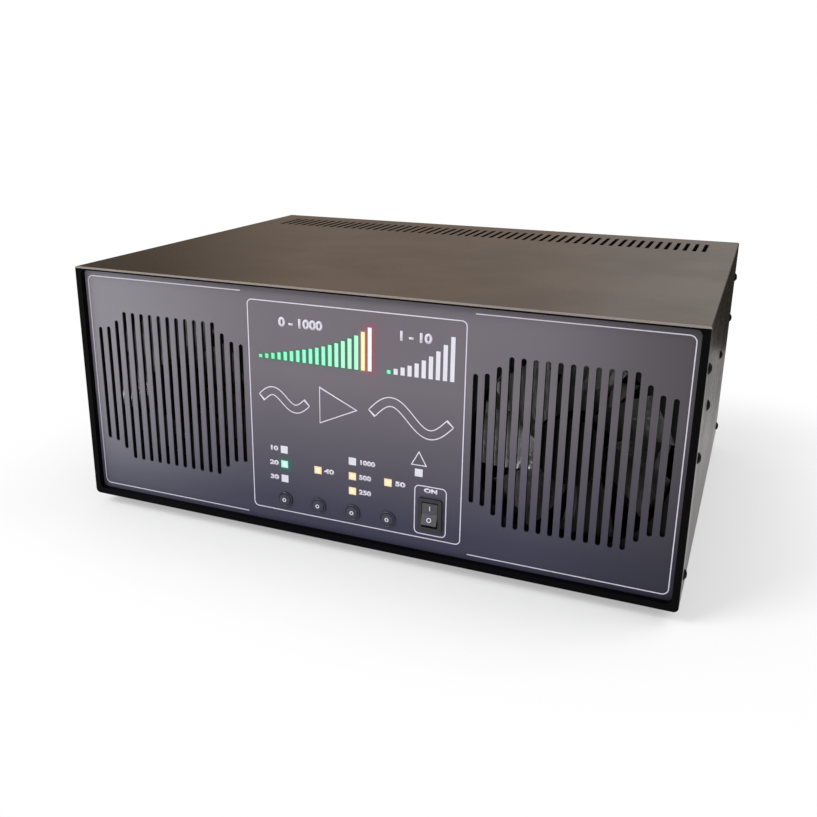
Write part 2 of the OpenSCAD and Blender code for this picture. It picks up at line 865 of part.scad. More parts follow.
module fuse_drawer() {
    body = [10.9, 4.15];
    color("black") in_case() translate([inlet_x, 0, drawer_z]) difference() {
        union() {
            upright(inlet_face - 18, 18) square(2 * body, center = true);
            upright(inlet_face, 1.8) rounded_2d([-12.5, -5.5], [12.5, 5.5], 1, 1);
        }
        // Pocket for the fuse, open at the top, and the notch for a fingernail.
        span([-10.4, inlet_face - 12, -2.7], [10.4, inlet_face - 6, 5]);
        translate([0, inlet_face + 2.6, -5.5]) rod_x(1.8, -5, 5);
    }
}

module mains_fuse() {
    color("silver") in_case() translate([inlet_x, inlet_face - 9, drawer_z]) rod_x(2.6, -10, 10);
}

so239_r = 7.94;
barrel_end = outer_y + 15;

module coaxial_socket(x) {
    color("silver") in_case() translate([x, 0, so239_z]) difference() {
        union() {
            upright(outer_y, 2.5) rounded_2d([-12.7, -12.7], [12.7, 12.7], 1, 1);
            rod_y(so239_r, outer_y, barrel_end);
            rod_y(5.8, outer_y - 8, outer_y);
        }
        rod_y(5.6, outer_y + 2, barrel_end + 1);
        rod_y(3.2, outer_y - 9, outer_y + 3);
        for (h = [-1, 1], v = [-1, 1]) translate([h, 0, v] * so239_pitch / 2) {
            rod_y(1.6, outer_y - 1, outer_y + 3);
        }
    }
}

module input_socket() { coaxial_socket(so239_x[0]); }
module antenna_socket() { coaxial_socket(so239_x[1]); }

// White insulators, with the centre contacts' bores.
module coaxial_insulators() {
    color("ivory") in_case() for (x = so239_x) translate([x, 0, so239_z]) difference() {
        union() {
            rod_y(5.6, outer_y + 2, barrel_end - 1);
            rod_y(3.2, outer_y - 8, outer_y + 2);
        }
        rod_y(2, outer_y + 4.5, barrel_end);
    }
}

module phono_jacks() {
    color("silver") in_case() for (x = phono_x) translate([x, 0, phono_z]) difference() {
        union() {
            nut_y(11, outer_y, outer_y + 2);
            rod_y(4.15, outer_y, outer_y + 10);
            rod_y(3.2, outer_y - 7, outer_y);
        }
        rod_y(3.3, outer_y + 1, outer_y + 11);
    }
}

module phono_insulators() {
    color("crimson") in_case() for (x = phono_x) translate([x, 0, phono_z]) difference() {
        rod_y(3.3, outer_y + 1, outer_y + 9.4);
        rod_y(1.6, outer_y + 2, outer_y + 10);
    }
}

// Outline of a nine-way remote socket's shell.
module remote_2d(grow) {
    w = 8.2 + grow;
    n = 7.2 + grow;
    h = 4 + grow;
    polygon([[-w, h], [w, h], [n, -h], [-n, -h]]);
}

module remote_socket() {
    color("silver") in_case() translate([remote_x, 0, remote_z]) {
        difference() {
            upright(outer_y, 1) rounded_2d([-15.4, -6.2], [15.4, 6.2], 1, 1);
            for (h = [-1, 1]) translate([h * 12.5, 0, 0]) rod_y(1.6, outer_y - 1, outer_y + 2);
        }
        upright(outer_y + 1, 5) remote_2d(0.4);
        upright(outer_y - 9, 9) square([19, 10], center = true);
    }
}

clamp_end = outer_y + 8.5;

// A stepped stud: its thick shank is clamped to the panel and its thin end takes a ring terminal.
module ground_stud() {
    color("silver") in_case() translate([ground_x, 0, ground_z]) {
        rod_y(ground_shank_r, rear_y - 9, clamp_end);
        rod_y(ground_end_r, clamp_end - 1, case_d + rear_reach);
    }
}

module ground_nuts() {
    color("silver") in_case() translate([ground_x, 0, ground_z]) difference() {
        union() {
            nut_y(13, rear_y - 6.5, rear_y);
            rod_y(8, outer_y, outer_y + 1.6);
            nut_y(13, outer_y + 1.6, clamp_end);
        }
        rod_y(ground_shank_r, rear_y - 8, clamp_end + 1);
    }
}

// A pan head with a cross-shaped recess, its shank running forward.
module rear_screw(y, shank) {
    difference() {
        union() {
            rod_y(2.6, y, y + 1.6);
            rod_y(1.5, y - shank, y);
        }
        for (a = [0, 90]) rotate([0, a, 0]) span([-1.6, y + 0.7, -0.35], [1.6, y + 2, 0.35]);
    }
}

module connector_screws() {
    color("silver") in_case() {
        for (x = so239_x, h = [-1, 1], v = [-1, 1]) translate([x, 0, so239_z]) {
            translate([h, 0, v] * so239_pitch / 2) rear_screw(outer_y + 2.5, 7);
        }
        for (h = [-1, 1]) translate([remote_x + h * 12.5, 0, remote_z]) rear_screw(outer_y + 1, 5);
    }
}

// Fasteners and feet ------------------------------------------------------------------------

// Outline of a domed head, turned about its axis.
module dome_2d() {
    dome_r = 4;
    intersection() {
        square([screw_head_r, screw_head_h]);
        translate([0, screw_head_h - dome_r]) circle(dome_r, $fn = 64);
    }
}

// A domed head with a hexagon recess on a shank, along +X.
module side_screw() {
    rotate([0, 90, 0]) difference() {
        union() {
            rotate_extrude() dome_2d();
            translate([0, 0, -4]) cylinder(h = 4, r = screw_r);
        }
        translate([0, 0, screw_head_h - 1.1]) cylinder(h = 2, r = 1.25, $fn = 6);
    }
}

module side_screws() {
    color("black") in_case() for (s = [0, 1], p = side_screws) mirror([s, 0, 0]) {
        translate([case_w / 2, p[0], p[1]]) side_screw();
    }
}

module feet() {
    color("black") in_case() for (x = [-foot_x, foot_x], y = foot_y) translate([x, y, -foot_h]) difference() {
        cylinder(h = foot_h, r1 = foot_r - 1.5, r2 = foot_r);
        translate([0, 0, -1]) cylinder(h = 5, r = 4.5);
        cylinder(h = foot_h + 1, r = 2.2);
    }
}

module foot_screws() {
    color("silver") in_case() for (x = [-foot_x, foot_x], y = foot_y) translate([x, y, 0]) {
        translate([0, 0, 2 - foot_h]) cylinder(h = 2, r = 4);
        translate([0, 0, 2 - foot_h]) cylinder(h = foot_h + 2, r = 1.9);
    }
}

bottom_tray();
top_cover();
front_frame();
front_plate();
front_overlay();
power_bars_green();
power_bar_amber();
power_bar_red();
swr_bars_dark();
swr_bar_green();
status_lenses_dark();
status_lens_green();
status_lenses_amber();
button_rings();
button_1();
button_2();
button_3();
button_4();
switch_housing();
power_rocker();
display_board();
key_switches();
board_spacers();
fan_frame_left();
fan_frame_right();
fan_rotor_left();
fan_rotor_right();
fan_stators();
fan_studs();
fan_nuts();
cooling_block();
rf_board();
power_transistors();
ferrite_transformers();
filter_board();
filter_toroids();
band_relays();
filter_posts();
supply_board();
supply_transformer();
supply_capacitors();
supply_posts();
rear_panel();
mains_inlet();
inlet_pins();
fuse_drawer();
mains_fuse();
input_socket();
antenna_socket();
coaxial_insulators();
phono_jacks();
phono_insulators();
remote_socket();
ground_stud();
ground_nuts();
connector_screws();
side_screws();
feet();
foot_screws();
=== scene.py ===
"""Looks of a desk-top radio frequency power amplifier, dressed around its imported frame."""
import json
import math

import bpy
from mathutils import Matrix, Vector


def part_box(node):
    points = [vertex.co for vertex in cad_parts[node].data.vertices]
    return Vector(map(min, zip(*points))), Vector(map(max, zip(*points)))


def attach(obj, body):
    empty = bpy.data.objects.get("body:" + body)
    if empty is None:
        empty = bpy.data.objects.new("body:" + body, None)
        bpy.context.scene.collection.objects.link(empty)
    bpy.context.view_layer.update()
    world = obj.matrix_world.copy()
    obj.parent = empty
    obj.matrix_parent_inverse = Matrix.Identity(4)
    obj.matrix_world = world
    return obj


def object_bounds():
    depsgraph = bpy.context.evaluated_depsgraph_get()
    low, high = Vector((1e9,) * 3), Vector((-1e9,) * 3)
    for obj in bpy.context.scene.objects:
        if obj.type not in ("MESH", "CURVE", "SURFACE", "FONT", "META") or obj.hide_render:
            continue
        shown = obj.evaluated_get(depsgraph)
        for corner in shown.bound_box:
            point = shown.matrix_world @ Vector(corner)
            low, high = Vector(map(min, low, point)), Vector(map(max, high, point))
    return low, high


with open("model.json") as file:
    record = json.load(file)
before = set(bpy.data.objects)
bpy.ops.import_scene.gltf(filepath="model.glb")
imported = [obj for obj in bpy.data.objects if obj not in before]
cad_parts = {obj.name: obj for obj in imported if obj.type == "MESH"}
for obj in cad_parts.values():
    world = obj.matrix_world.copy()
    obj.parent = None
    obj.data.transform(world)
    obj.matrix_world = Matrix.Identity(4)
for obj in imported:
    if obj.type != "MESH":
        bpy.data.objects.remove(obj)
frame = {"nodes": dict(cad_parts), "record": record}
cad_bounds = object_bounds()

MM = 0.001
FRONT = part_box("front_frame")[0].y          # the rim's face
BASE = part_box("bottom_tray")[0].z           # underside of the case
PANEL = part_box("front_overlay")[0].y        # face of the printed overlay
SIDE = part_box("front_frame")[1].x           # outer face of the right side
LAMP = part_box("status_lens_green")[1].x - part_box("status_lens_green")[0].x
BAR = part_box("power_bar_red")[1].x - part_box("power_bar_red")[0].x
GREEN_BARS = 16


def at(x, y, z):
    """Metres, from millimetres right of the middle, behind the rim and up from the base."""
    return Vector((x * MM, FRONT + y * MM, BASE + z * MM))


# Colours and shader nodes --------------------------------------------------------------------


def shade(red, green, blue):
    """A colour as it looks on a display, 0 to 255, in the shader's linear values."""
    def linear(value):
        value = value / 255
        return value / 12.92 if value <= 0.04045 else ((value + 0.055) / 1.055) ** 2.4

    return (linear(red), linear(green), linear(blue), 1.0)


def add(tree, kind, values=None, **settings):
    """Adds a node, sets its options, and sets or joins its inputs."""
    node = tree.nodes.new(kind)
    for name, value in settings.items():
        setattr(node, name, value)
    for name, value in (values or {}).items():
        socket = node.inputs[name]
        if isinstance(value, bpy.types.NodeSocket):
            tree.links.new(value, socket)
        else:
            socket.default_value = value
    return node


def calc(tree, operation, first, second=0.0, clamp=False):
    """A Math node's result."""
    node = add(tree, "ShaderNodeMath", {0: first, 1: second}, operation=operation, use_clamp=clamp)
    return node.outputs[0]


def blend_colours(tree, share, first, second):
    node = tree.nodes.new("ShaderNodeMix")
    node.data_type = "RGBA"
    for index, value in ((0, share), (6, first), (7, second)):
        if isinstance(value, bpy.types.NodeSocket):
            tree.links.new(value, node.inputs[index])
        else:
            node.inputs[index].default_value = value
    return node.outputs[2]


def ramp(tree, value, low, high, to_low=0.0, to_high=1.0, smooth=True):
    node = add(tree, "ShaderNodeMapRange", {0: value, 1: low, 2: high, 3: to_low, 4: to_high})
    node.interpolation_type = "SMOOTHSTEP" if smooth else "LINEAR"
    return node.outputs[0]


def new_group(name, inputs, outputs):
    """An empty node group with named sockets. Returns its tree, its inputs and its outputs."""
    tree = bpy.data.node_groups.new(name, "ShaderNodeTree")
    for label, kind, default in inputs:
        socket = tree.interface.new_socket(label, in_out="INPUT", socket_type=kind)
        socket.default_value = default
    for label, kind in outputs:
        tree.interface.new_socket(label, in_out="OUTPUT", socket_type=kind)
    entry = tree.nodes.new("NodeGroupInput")
    exit_node = tree.nodes.new("NodeGroupOutput")
    return tree, entry.outputs, exit_node.inputs


def place(tree, output="Object"):
    return tree.nodes.new("ShaderNodeTexCoord").outputs[output]


def coordinates(tree, output="Object"):
    """X, Y and Z of the place, or of the normal."""
    return add(tree, "ShaderNodeSeparateXYZ", {0: place(tree, output)}).outputs


def length(tree, first, second):
    """The length of a line with these two sides square to each other."""
    squares = [calc(tree, "MULTIPLY", side, side) for side in (first, second)]
    return calc(tree, "SQRT", calc(tree, "ADD", *squares))


def powder_grain_group():
    """The fine pebbled skin of powder coat: a height, and a little unevenness of gloss."""
    tree, inputs, outputs = new_group(
        "powder_grain",
        [("Pebbles per metre", "NodeSocketFloat", 1400.0)],
        [("Height", "NodeSocketFloat"), ("Gloss change", "NodeSocketFloat")],
    )
    where = place(tree)
    pebbles = add(tree, "ShaderNodeTexNoise", {
        "Vector": where, "Scale": inputs[0], "Detail": 3.0, "Roughness": 0.55,
    })
    cells = add(tree, "ShaderNodeTexVoronoi", {"Vector": where, "Scale": inputs[0]})
    dimples = calc(tree, "MULTIPLY", cells.outputs["Distance"], 0.5)
    tree.links.new(calc(tree, "ADD", pebbles.outputs[0], dimples), outputs[0])
    cloud = add(tree, "ShaderNodeTexNoise", {"Vector": where, "Scale": 14.0, "Detail": 4.0})
    tree.links.new(ramp(tree, cloud.outputs[0], 0.3, 0.7, -0.5, 0.5), outputs[1])
    return tree


DUST_TONE = (0.42, 0.40, 0.37, 1.0)
UNDER_LIGHT = (0.004, 0.004, 0.004, 1)      # the film where light shows through it
UNLIT_WINDOW = (0.02, 0.02, 0.02, 1)        # what a lit window mirrors light with


def patches_group():
    """Large soft variations between two colours, with fine specks of dust."""
    tree, inputs, outputs = new_group(
        "patches",
        [
            ("Colour", "NodeSocketColor", (0.1, 0.1, 0.1, 1.0)),
            ("Other colour", "NodeSocketColor", (0.2, 0.2, 0.2, 1.0)),
            ("Patches per metre", "NodeSocketFloat", 9.0),
            ("Dust", "NodeSocketFloat", 0.1),
        ],
        [("Colour", "NodeSocketColor")],
    )
    where = place(tree)
    cloud = add(tree, "ShaderNodeTexNoise", {"Vector": where, "Scale": inputs[2], "Detail": 5.0})
    mixed = blend_colours(tree, ramp(tree, cloud.outputs[0], 0.3, 0.7), inputs[0], inputs[1])
    specks = add(tree, "ShaderNodeTexNoise", {"Vector": where, "Scale": 420.0, "Detail": 2.0})
    few = ramp(tree, specks.outputs[0], 0.66, 0.8)
    facing_up = ramp(tree, coordinates(tree, "Normal")[2], 0.2, 0.9)
    resting = calc(tree, "MULTIPLY", calc(tree, "MULTIPLY", few, inputs[3]), facing_up)
    tree.links.new(blend_colours(tree, resting, mixed, DUST_TONE), outputs[0])
    return tree


def edge_highlight_group():
    """A mask along a plane square to Y, for a painted highlight along the front edge of a sheet,
    broken up by noise.
    """
    tree, inputs, outputs = new_group(
        "edge_highlight",
        [("Edge place", "NodeSocketFloat", 0.0), ("Width", "NodeSocketFloat", 0.001)],
        [("Mask", "NodeSocketFloat")],
    )
    where = place(tree)
    y = add(tree, "ShaderNodeSeparateXYZ", {0: where}).outputs[1]
    wobble = add(tree, "ShaderNodeTexNoise", {"Vector": where, "Scale": 160.0, "Detail": 3.0})
    reach = calc(tree, "MULTIPLY", inputs[1], calc(tree, "ADD", wobble.outputs[0], 0.5))
    inside = calc(tree, "LESS_THAN", calc(tree, "SUBTRACT", y, inputs[0]), reach)
    tree.links.new(inside, outputs[0])
    return tree


def window_glow_group():
    """Light that leaks through the film round a lit window and fades away from its edge."""
    tree, inputs, outputs = new_group(
        "window_glow",
        [
            ("Middle X", "NodeSocketFloat", 0.0),
            ("Middle Z", "NodeSocketFloat", 0.0),
            ("Half width", "NodeSocketFloat", 0.002),
            ("Half height", "NodeSocketFloat", 0.002),
            ("Reach", "NodeSocketFloat", 0.001),
        ],
        [("Mask", "NodeSocketFloat")],
    )
    xyz = coordinates(tree)
    gaps = []
    for axis, middle, half in ((0, inputs[0], inputs[2]), (2, inputs[1], inputs[3])):
        away = calc(tree, "ABSOLUTE", calc(tree, "SUBTRACT", xyz[axis], middle))
        gaps.append(calc(tree, "MAXIMUM", calc(tree, "SUBTRACT", away, half), 0.0))
    share = calc(tree, "DIVIDE", length(tree, *gaps), inputs[4])
    tree.links.new(calc(tree, "EXPONENT", calc(tree, "MULTIPLY", share, -1.0)), outputs[0])
    return tree


POWDER_GRAIN = powder_grain_group()
PATCHES = patches_group()
EDGE_HIGHLIGHT = edge_highlight_group()
WINDOW_GLOW = window_glow_group()


def use(tree, group, values=None):
    node = tree.nodes.new("ShaderNodeGroup")
    node.node_tree = group
    for name, value in (values or {}).items():
        socket = node.inputs[name]
        if isinstance(value, bpy.types.NodeSocket):
            tree.links.new(value, socket)
        else:
            socket.default_value = value
    return node.outputs


def new_material(name, **plain):
    """A material with its shader's constant values set on its own sockets."""
    material = bpy.data.materials.new(name)
    material.use_nodes = True
    tree = material.node_tree
    shader = tree.nodes["Principled BSDF"]
    for label, value in plain.items():
        shader.inputs[label.replace("_", " ")].default_value = value
    return material, tree, shader


def opened(material, label="Base Color"):
    """A material's tree and shader, and what feeds one input of the shader."""
    tree = material.node_tree
    shader = tree.nodes["Principled BSDF"]
    return tree, shader, shader.inputs[label].links[0].from_socket


def surface(name, colour, other, rough, grain=(1400.0, 0.00003), dust=0.1, patches=9.0, **plain):
    """A surface with patches, dust and grain, which is pebbles per metre and their height."""
    material, tree, shader = new_material(name, **plain)
    tone = use(tree, PATCHES, {
        "Colour": colour, "Other colour": other, "Patches per metre": patches, "Dust": dust,
    })
    skin = use(tree, POWDER_GRAIN, {"Pebbles per metre": grain[0]})
    tree.links.new(tone[0], shader.inputs["Base Color"])
    gloss = calc(tree, "ADD", calc(tree, "MULTIPLY", skin[1], 0.1), rough, clamp=True)
    tree.links.new(gloss, shader.inputs["Roughness"])
    bump = add(tree, "ShaderNodeBump", {"Height": skin[0], "Distance": grain[1], "Strength": 0.6})
    tree.links.new(bump.outputs[0], shader.inputs["Normal"])
    return material


BROWNS = (shade(31, 26, 21), shade(36, 30, 25))
POWDER = (1500.0, 0.00001)      # the paint's pebbles per metre and their height
POWDER_PATCHES = 6.0            # its soft patches per metre


def cover_paint():
    """Dark brown-black powder coat, with a pale painted highlight along the front edge of the
    sheet.
    """
    material = surface("cover_paint", *BROWNS, 0.28, POWDER, 0.12, POWDER_PATCHES)
    tree, shader, under = opened(material)
    # Painted highlight: a pale band along the cover's front edge.
    mask = use(tree, EDGE_HIGHLIGHT, {"Edge place": FRONT, "Width": 0.0005})[0]
    tone = blend_colours(tree, mask, under, shade(128, 120, 112))
    tree.links.new(tone, shader.inputs["Base Color"])
    return material


def rim_paint():
    """Dull black round the panel, and the cover's glossy paint on the outside of the side bands."""
    material = surface(
        "rim_paint", shade(2, 1, 3), shade(4, 3, 4), 0.45, POWDER, 0.0,
        Specular_IOR_Level=0.04, Coat_Roughness=0.3,
    )
    tree, shader, black = opened(material)
    brown = use(tree, PATCHES, {
        "Colour": BROWNS[0], "Other colour": BROWNS[1],
        "Patches per metre": POWDER_PATCHES, "Dust": 0.0,
    })[0]
    xyz = coordinates(tree)
    outside = calc(tree, "GREATER_THAN", calc(tree, "ABSOLUTE", xyz[0]), SIDE - 0.2 * MM)
    tree.links.new(blend_colours(tree, outside, black, brown), shader.inputs["Base Color"])
    tree.links.new(outside, shader.inputs["Coat Weight"])
    return material


# The green bars' heights in metres: the first bar, the rise per bar and what its fourth power adds.
BAR_FIRST = 0.0021
BAR_RISE = 0.00085
BAR_GROWTH = 0.00000012


def bars_slope(tree, x, z, low, high):
    """How far a place lies above the slope of the green bars' tops, which rise to the right."""
    step = ramp(tree, x, low.x, high.x, 0.0, GREEN_BARS - 0.5, smooth=False)
    rise = calc(tree, "MULTIPLY", calc(tree, "POWER", step, 4.0), BAR_GROWTH)
    rise = calc(tree, "ADD", rise, calc(tree, "MULTIPLY", step, BAR_RISE))
    return calc(tree, "SUBTRACT", calc(tree, "SUBTRACT", z, rise), low.z + BAR_FIRST)


def overlay_print():
    """Graphite film with painted shade darker and bluer towards its foot, painted light to the
    left, painted shade to the right, and light leaking round the lit windows.
    """
    material = surface(
        "overlay_print", shade(104, 98, 105), shade(101, 95, 102), 0.42, (2600.0, 0.000008), 0.02,
        Specular_IOR_Level=0.25,
    )
    tree, shader, under = opened(material)
    x, _, z = coordinates(tree)
    low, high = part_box("front_overlay")
    height = ramp(tree, z, low.z, high.z, 0.0, 1.0, smooth=False)
    # Painted shade: the film is painted darker and bluer towards its foot.
    above_foot_shade = ramp(tree, height, 0.1, 0.66, smooth=False)
    tone = blend_colours(tree, above_foot_shade, shade(53, 53, 71), under)
    # Painted light: the film is painted paler towards its left end, less so near its foot.
    to_left = ramp(tree, x, -0.05, low.x, 0.0, 0.27)
    paler = calc(tree, "MULTIPLY", to_left, ramp(tree, height, -0.15, 0.35))
    tone = blend_colours(tree, paler, tone, shade(168, 168, 176))
    # Painted shade: the film is painted darker towards its right end.
    tone = blend_colours(tree, ramp(tree, x, 0.1, high.x, 0.0, 0.5), tone, shade(14, 12, 16))
    glow = None
    # Each lit window, its light's colour, how far the light reaches and how much it covers.
    for node, colour, reach, cover in (
        ("power_bars_green", shade(36, 112, 88), 0.0006, 0.8),
        ("power_bar_amber", shade(170, 140, 90), 0.0006, 0.5),
        ("power_bar_red", shade(172, 60, 84), 0.0017, 0.7),
        ("swr_bar_green", shade(30, 120, 92), 0.0006, 0.7),
        ("status_lens_green", shade(8, 112, 84), 0.0012, 0.9),
    ):
        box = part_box(node)
        middle = (box[0] + box[1]) / 2
        half = (box[1] - box[0]) / 2
        mask = use(tree, WINDOW_GLOW, {
            "Middle X": middle.x, "Middle Z": middle.z,
            "Half width": half.x, "Half height": half.z, "Reach": reach,
        })[0]
        if node == "power_bars_green":
            above = bars_slope(tree, x, z, *box)
            mask = calc(tree, "MULTIPLY", mask, ramp(tree, above, 0.0, reach, 1.0, 0.0))
        mask = calc(tree, "MULTIPLY", mask, cover)
        tone = blend_colours(tree, mask, tone, UNDER_LIGHT)
        part = blend_colours(tree, mask, (0, 0, 0, 1), colour)
        if glow is None:
            glow = part
        else:
            glow = add(tree, "ShaderNodeVectorMath", {0: glow, 1: part}, operation="ADD").outputs[0]
    tree.links.new(tone, shader.inputs["Base Color"])
    tree.links.new(glow, shader.inputs["Emission Color"])
    shader.inputs["Emission Strength"].default_value = 1.0
    return material


def from_middle(tree, node, wide, tall=0.0, columns=1, rows=1):
    """Distance from the middle of the nearest window of a node, from 0 to 1 at its edges."""
    xyz = coordinates(tree)
    low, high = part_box(node)
    shares = []
    for axis, size, count in ((0, wide, columns), (2, tall, rows)):
        if not size:
            continue
        first = low[axis] + size / 2
        pitch = (high[axis] - low[axis] - size) / (count - 1) if count > 1 else 10 * size
        step = calc(tree, "DIVIDE", calc(tree, "SUBTRACT", xyz[axis], first), pitch)
        off = calc(tree, "SUBTRACT", calc(tree, "FRACT", calc(tree, "ADD", step, 0.5)), 0.5)
        shares.append(calc(tree, "MULTIPLY", calc(tree, "ABSOLUTE", off), 2 * pitch / size))
    return calc(tree, "MAXIMUM", *shares) if len(shares) > 1 else shares[0]


def lamp_window(node, edge, middle, wide=LAMP, tall=0.0, columns=1, rows=1):
    """A lit light guide, palest along its middle and with its lamp's colour at the edges."""
    material, tree, shader = new_material("lit_" + node, Roughness=0.35, Emission_Strength=1.0)
    share = ramp(tree, from_middle(tree, node, wide, tall, columns, rows), 0.35, 1.0)
    cloud = add(tree, "ShaderNodeTexNoise", {"Vector": place(tree), "Scale": 420.0, "Detail": 1.0})
    clouded = ramp(tree, cloud.outputs[0], 0.2, 0.8, 0.75, 1.25)
    uneven = calc(tree, "MULTIPLY", share, clouded, clamp=True)
    tone = blend_colours(tree, uneven, middle, edge)
    tree.links.new(tone, shader.inputs["Emission Color"])
    unlit = blend_colours(tree, 0.9, tone, UNLIT_WINDOW)
    tree.links.new(unlit, shader.inputs["Base Color"])
    return material


def green_bars():
    """The first bars are dimmer and greener, and the later ones paler and brighter."""
    node = "power_bars_green"
    material = lamp_window(node, shade(84, 206, 150), shade(150, 250, 205), BAR, columns=GREEN_BARS)
    tree, shader, even = opened(material, "Emission Color")
    x = coordinates(tree)[0]
    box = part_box(node)
    share = ramp(tree, x, box[0].x, box[1].x, 0.0, 1.0, smooth=False)
    tone = blend_colours(tree, ramp(tree, share, 0.05, 0.45, 0.55, 0.0), even, shade(70, 190, 128))
    late = blend_colours(tree, ramp(tree, share, 0.55, 0.97, 0.0, 0.7), tone, shade(198, 255, 212))
    tree.links.new(late, shader.inputs["Emission Color"])
    return material


def painted_light_rotor():
    """Glossy blades painted paler grey than their black plastic, as painted light, on a dull black
    hub, told apart by the distance from the axis.
    """
    # Painted light: the blades' grey is paler than their black plastic, for the light they catch
    # behind the grille.
    material = surface(
        "painted_light_rotor", shade(60, 59, 60), shade(68, 66, 66), 0.35, (300.0, 0.00001), 0.0,
        Specular_IOR_Level=0.06, Coat_Roughness=0.24, Coat_IOR=1.9,
    )
    tree, shader, blades = opened(material)
    low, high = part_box("fan_rotor_right")
    xyz = coordinates(tree)
    x = calc(tree, "SUBTRACT", calc(tree, "ABSOLUTE", xyz[0]), (low.x + high.x) / 2)
    z = calc(tree, "SUBTRACT", xyz[2], (low.z + high.z) / 2)
    outside = ramp(tree, length(tree, x, z), HUB, HUB + 0.0006)
    # The hub keeps the plastic's black; only the blades carry the painted light.
    tone = blend_colours(tree, outside, shade(4, 4, 5), blades)
    tree.links.new(tone, shader.inputs["Base Color"])
    tree.links.new(outside, shader.inputs["Coat Weight"])
    return material


def rocker_plastic():
    """Charcoal plastic with fine grip ridges across the rocker's face, and its flanks painted near
    black as painted shade.
    """
    material, tree, shader = new_material("rocker_plastic", Roughness=0.32)
    skin = use(tree, PATCHES, {
        "Colour": shade(52, 51, 57), "Other colour": shade(62, 61, 67),
        "Patches per metre": 90.0, "Dust": 0.0,
    })
    # Painted shade: faces turned sideways, the rocker's flanks, are painted near black.
    sideways = coordinates(tree, "Normal")[0]
    painted_shade_flank = calc(tree, "GREATER_THAN", calc(tree, "ABSOLUTE", sideways), 0.8)
    tree.links.new(blend_colours(tree, painted_shade_flank, skin[0], shade(6, 6, 8)), shader.inputs["Base Color"])
    z = coordinates(tree)[2]
    ridges = calc(tree, "SINE", calc(tree, "MULTIPLY", z, 2 * math.pi / RIDGE))
    bump = add(tree, "ShaderNodeBump", {"Height": ridges, "Distance": 0.00003, "Strength": 0.6})
    tree.links.new(bump.outputs[0], shader.inputs["Normal"])
    return material


BUTTON_PLASTIC = surface(
    "button_plastic", shade(36, 37, 54), shade(40, 41, 58), 0.3, (1800.0, 0.00001), 0.03,
)
HUB = 0.0205                # radius of the fans' hubs, metres
RIDGE = 0.0009              # spacing of the rocker's grip ridges, metres
LIT = {
    "power_bars_green": green_bars(),
    "power_bar_amber": lamp_window(
        "power_bar_amber", shade(250, 206, 128), shade(255, 238, 188), BAR,
    ),
    "power_bar_red": lamp_window("power_bar_red", shade(255, 196, 208), shade(255, 246, 245), BAR),
    "swr_bar_green": lamp_window("swr_bar_green", shade(64, 190, 132), shade(120, 236, 182), BAR),
    "status_lens_green": lamp_window(
        "status_lens_green", shade(120, 224, 194), shade(218, 242, 236), tall=LAMP,
    ),
    "status_lenses_amber": lamp_window(
        "status_lenses_amber", shade(236, 206, 146), shade(238, 229, 198),
        tall=LAMP, columns=3, rows=2,
    ),
}
MATERIALS = {
    "case_paint": cover_paint(),
    "tray_paint": surface(
        "tray_paint", shade(34, 29, 24), shade(40, 34, 29), 0.3, POWDER, 0.08, POWDER_PATCHES,
    ),
    "rim_paint": rim_paint(),
    "zinc_plate": surface(
        "zinc_plate", shade(10, 9, 11), shade(14, 13, 15), 0.6, Specular_IOR_Level=0.15,
    ),
    "overlay_print": overlay_print(),
    "lamp_dark": surface(
        "lamp_dark", shade(208, 207, 217), shade(215, 214, 223), 0.4, (900.0, 0.00001), 0.0,
    ),
    "black_plastic": surface(
        "black_plastic", shade(21, 21, 26), shade(25, 25, 30), 0.3, (1800.0, 0.00001), 0.04,
    ),
    "fan_black": surface(
        "fan_black", shade(5, 4, 6), shade(8, 7, 9), 0.6, (1200.0, 0.00002), 0.0,
        Specular_IOR_Level=0.1,
    ),
    "fan_grey": painted_light_rotor(),
    "copper": surface("copper", shade(150, 88, 52), shade(178, 108, 66), 0.3, Metallic=1.0),
    "aluminium": surface(
        "aluminium", shade(176, 178, 180), shade(196, 198, 200), 0.32, (260.0, 0.00002),
        Metallic=1.0,
    ),
    "board_green": surface(
        "board_green", shade(24, 84, 44), shade(34, 100, 54), 0.3, (700.0, 0.00002), 0.05,
    ),
    "gold_ceramic": surface(
        "gold_ceramic", shade(200, 168, 96), shade(216, 186, 118), 0.28, Metallic=1.0,
    ),
    "ferrite": surface("ferrite", shade(52, 52, 56), shade(64, 64, 68), 0.55),
    "toroid_red": surface("toroid_red", shade(150, 34, 26), shade(166, 44, 32), 0.5),
    "relay_blue": surface("relay_blue", shade(24, 48, 120), shade(30, 56, 132), 0.3),
    "capacitor_sleeve": surface("capacitor_sleeve", shade(20, 24, 52), shade(28, 32, 64), 0.25),
    "winding_tape": surface("winding_tape", shade(214, 164, 40), shade(226, 178, 60), 0.35),
    "nickel": surface(
        "nickel", shade(172, 168, 158), shade(196, 192, 182), 0.22, (420.0, 0.00001), Metallic=1.0,
    ),
    "insulator_white": surface("insulator_white", shade(226, 222, 212), shade(234, 230, 222), 0.45),
    "phono_red": surface("phono_red", shade(150, 18, 20), shade(166, 26, 26), 0.3),
    "screw_black": surface(
        "screw_black", shade(3, 2, 2), shade(5, 4, 4), 0.5, (900.0, 0.00001), 0.0,
        Specular_IOR_Level=0.06,
    ),
    "rubber": surface("rubber", shade(24, 24, 24), shade(32, 32, 32), 0.7, (2200.0, 0.00003)),
    "fuse_glass": surface("fuse_glass", shade(205, 212, 212), shade(214, 220, 220), 0.15),
}


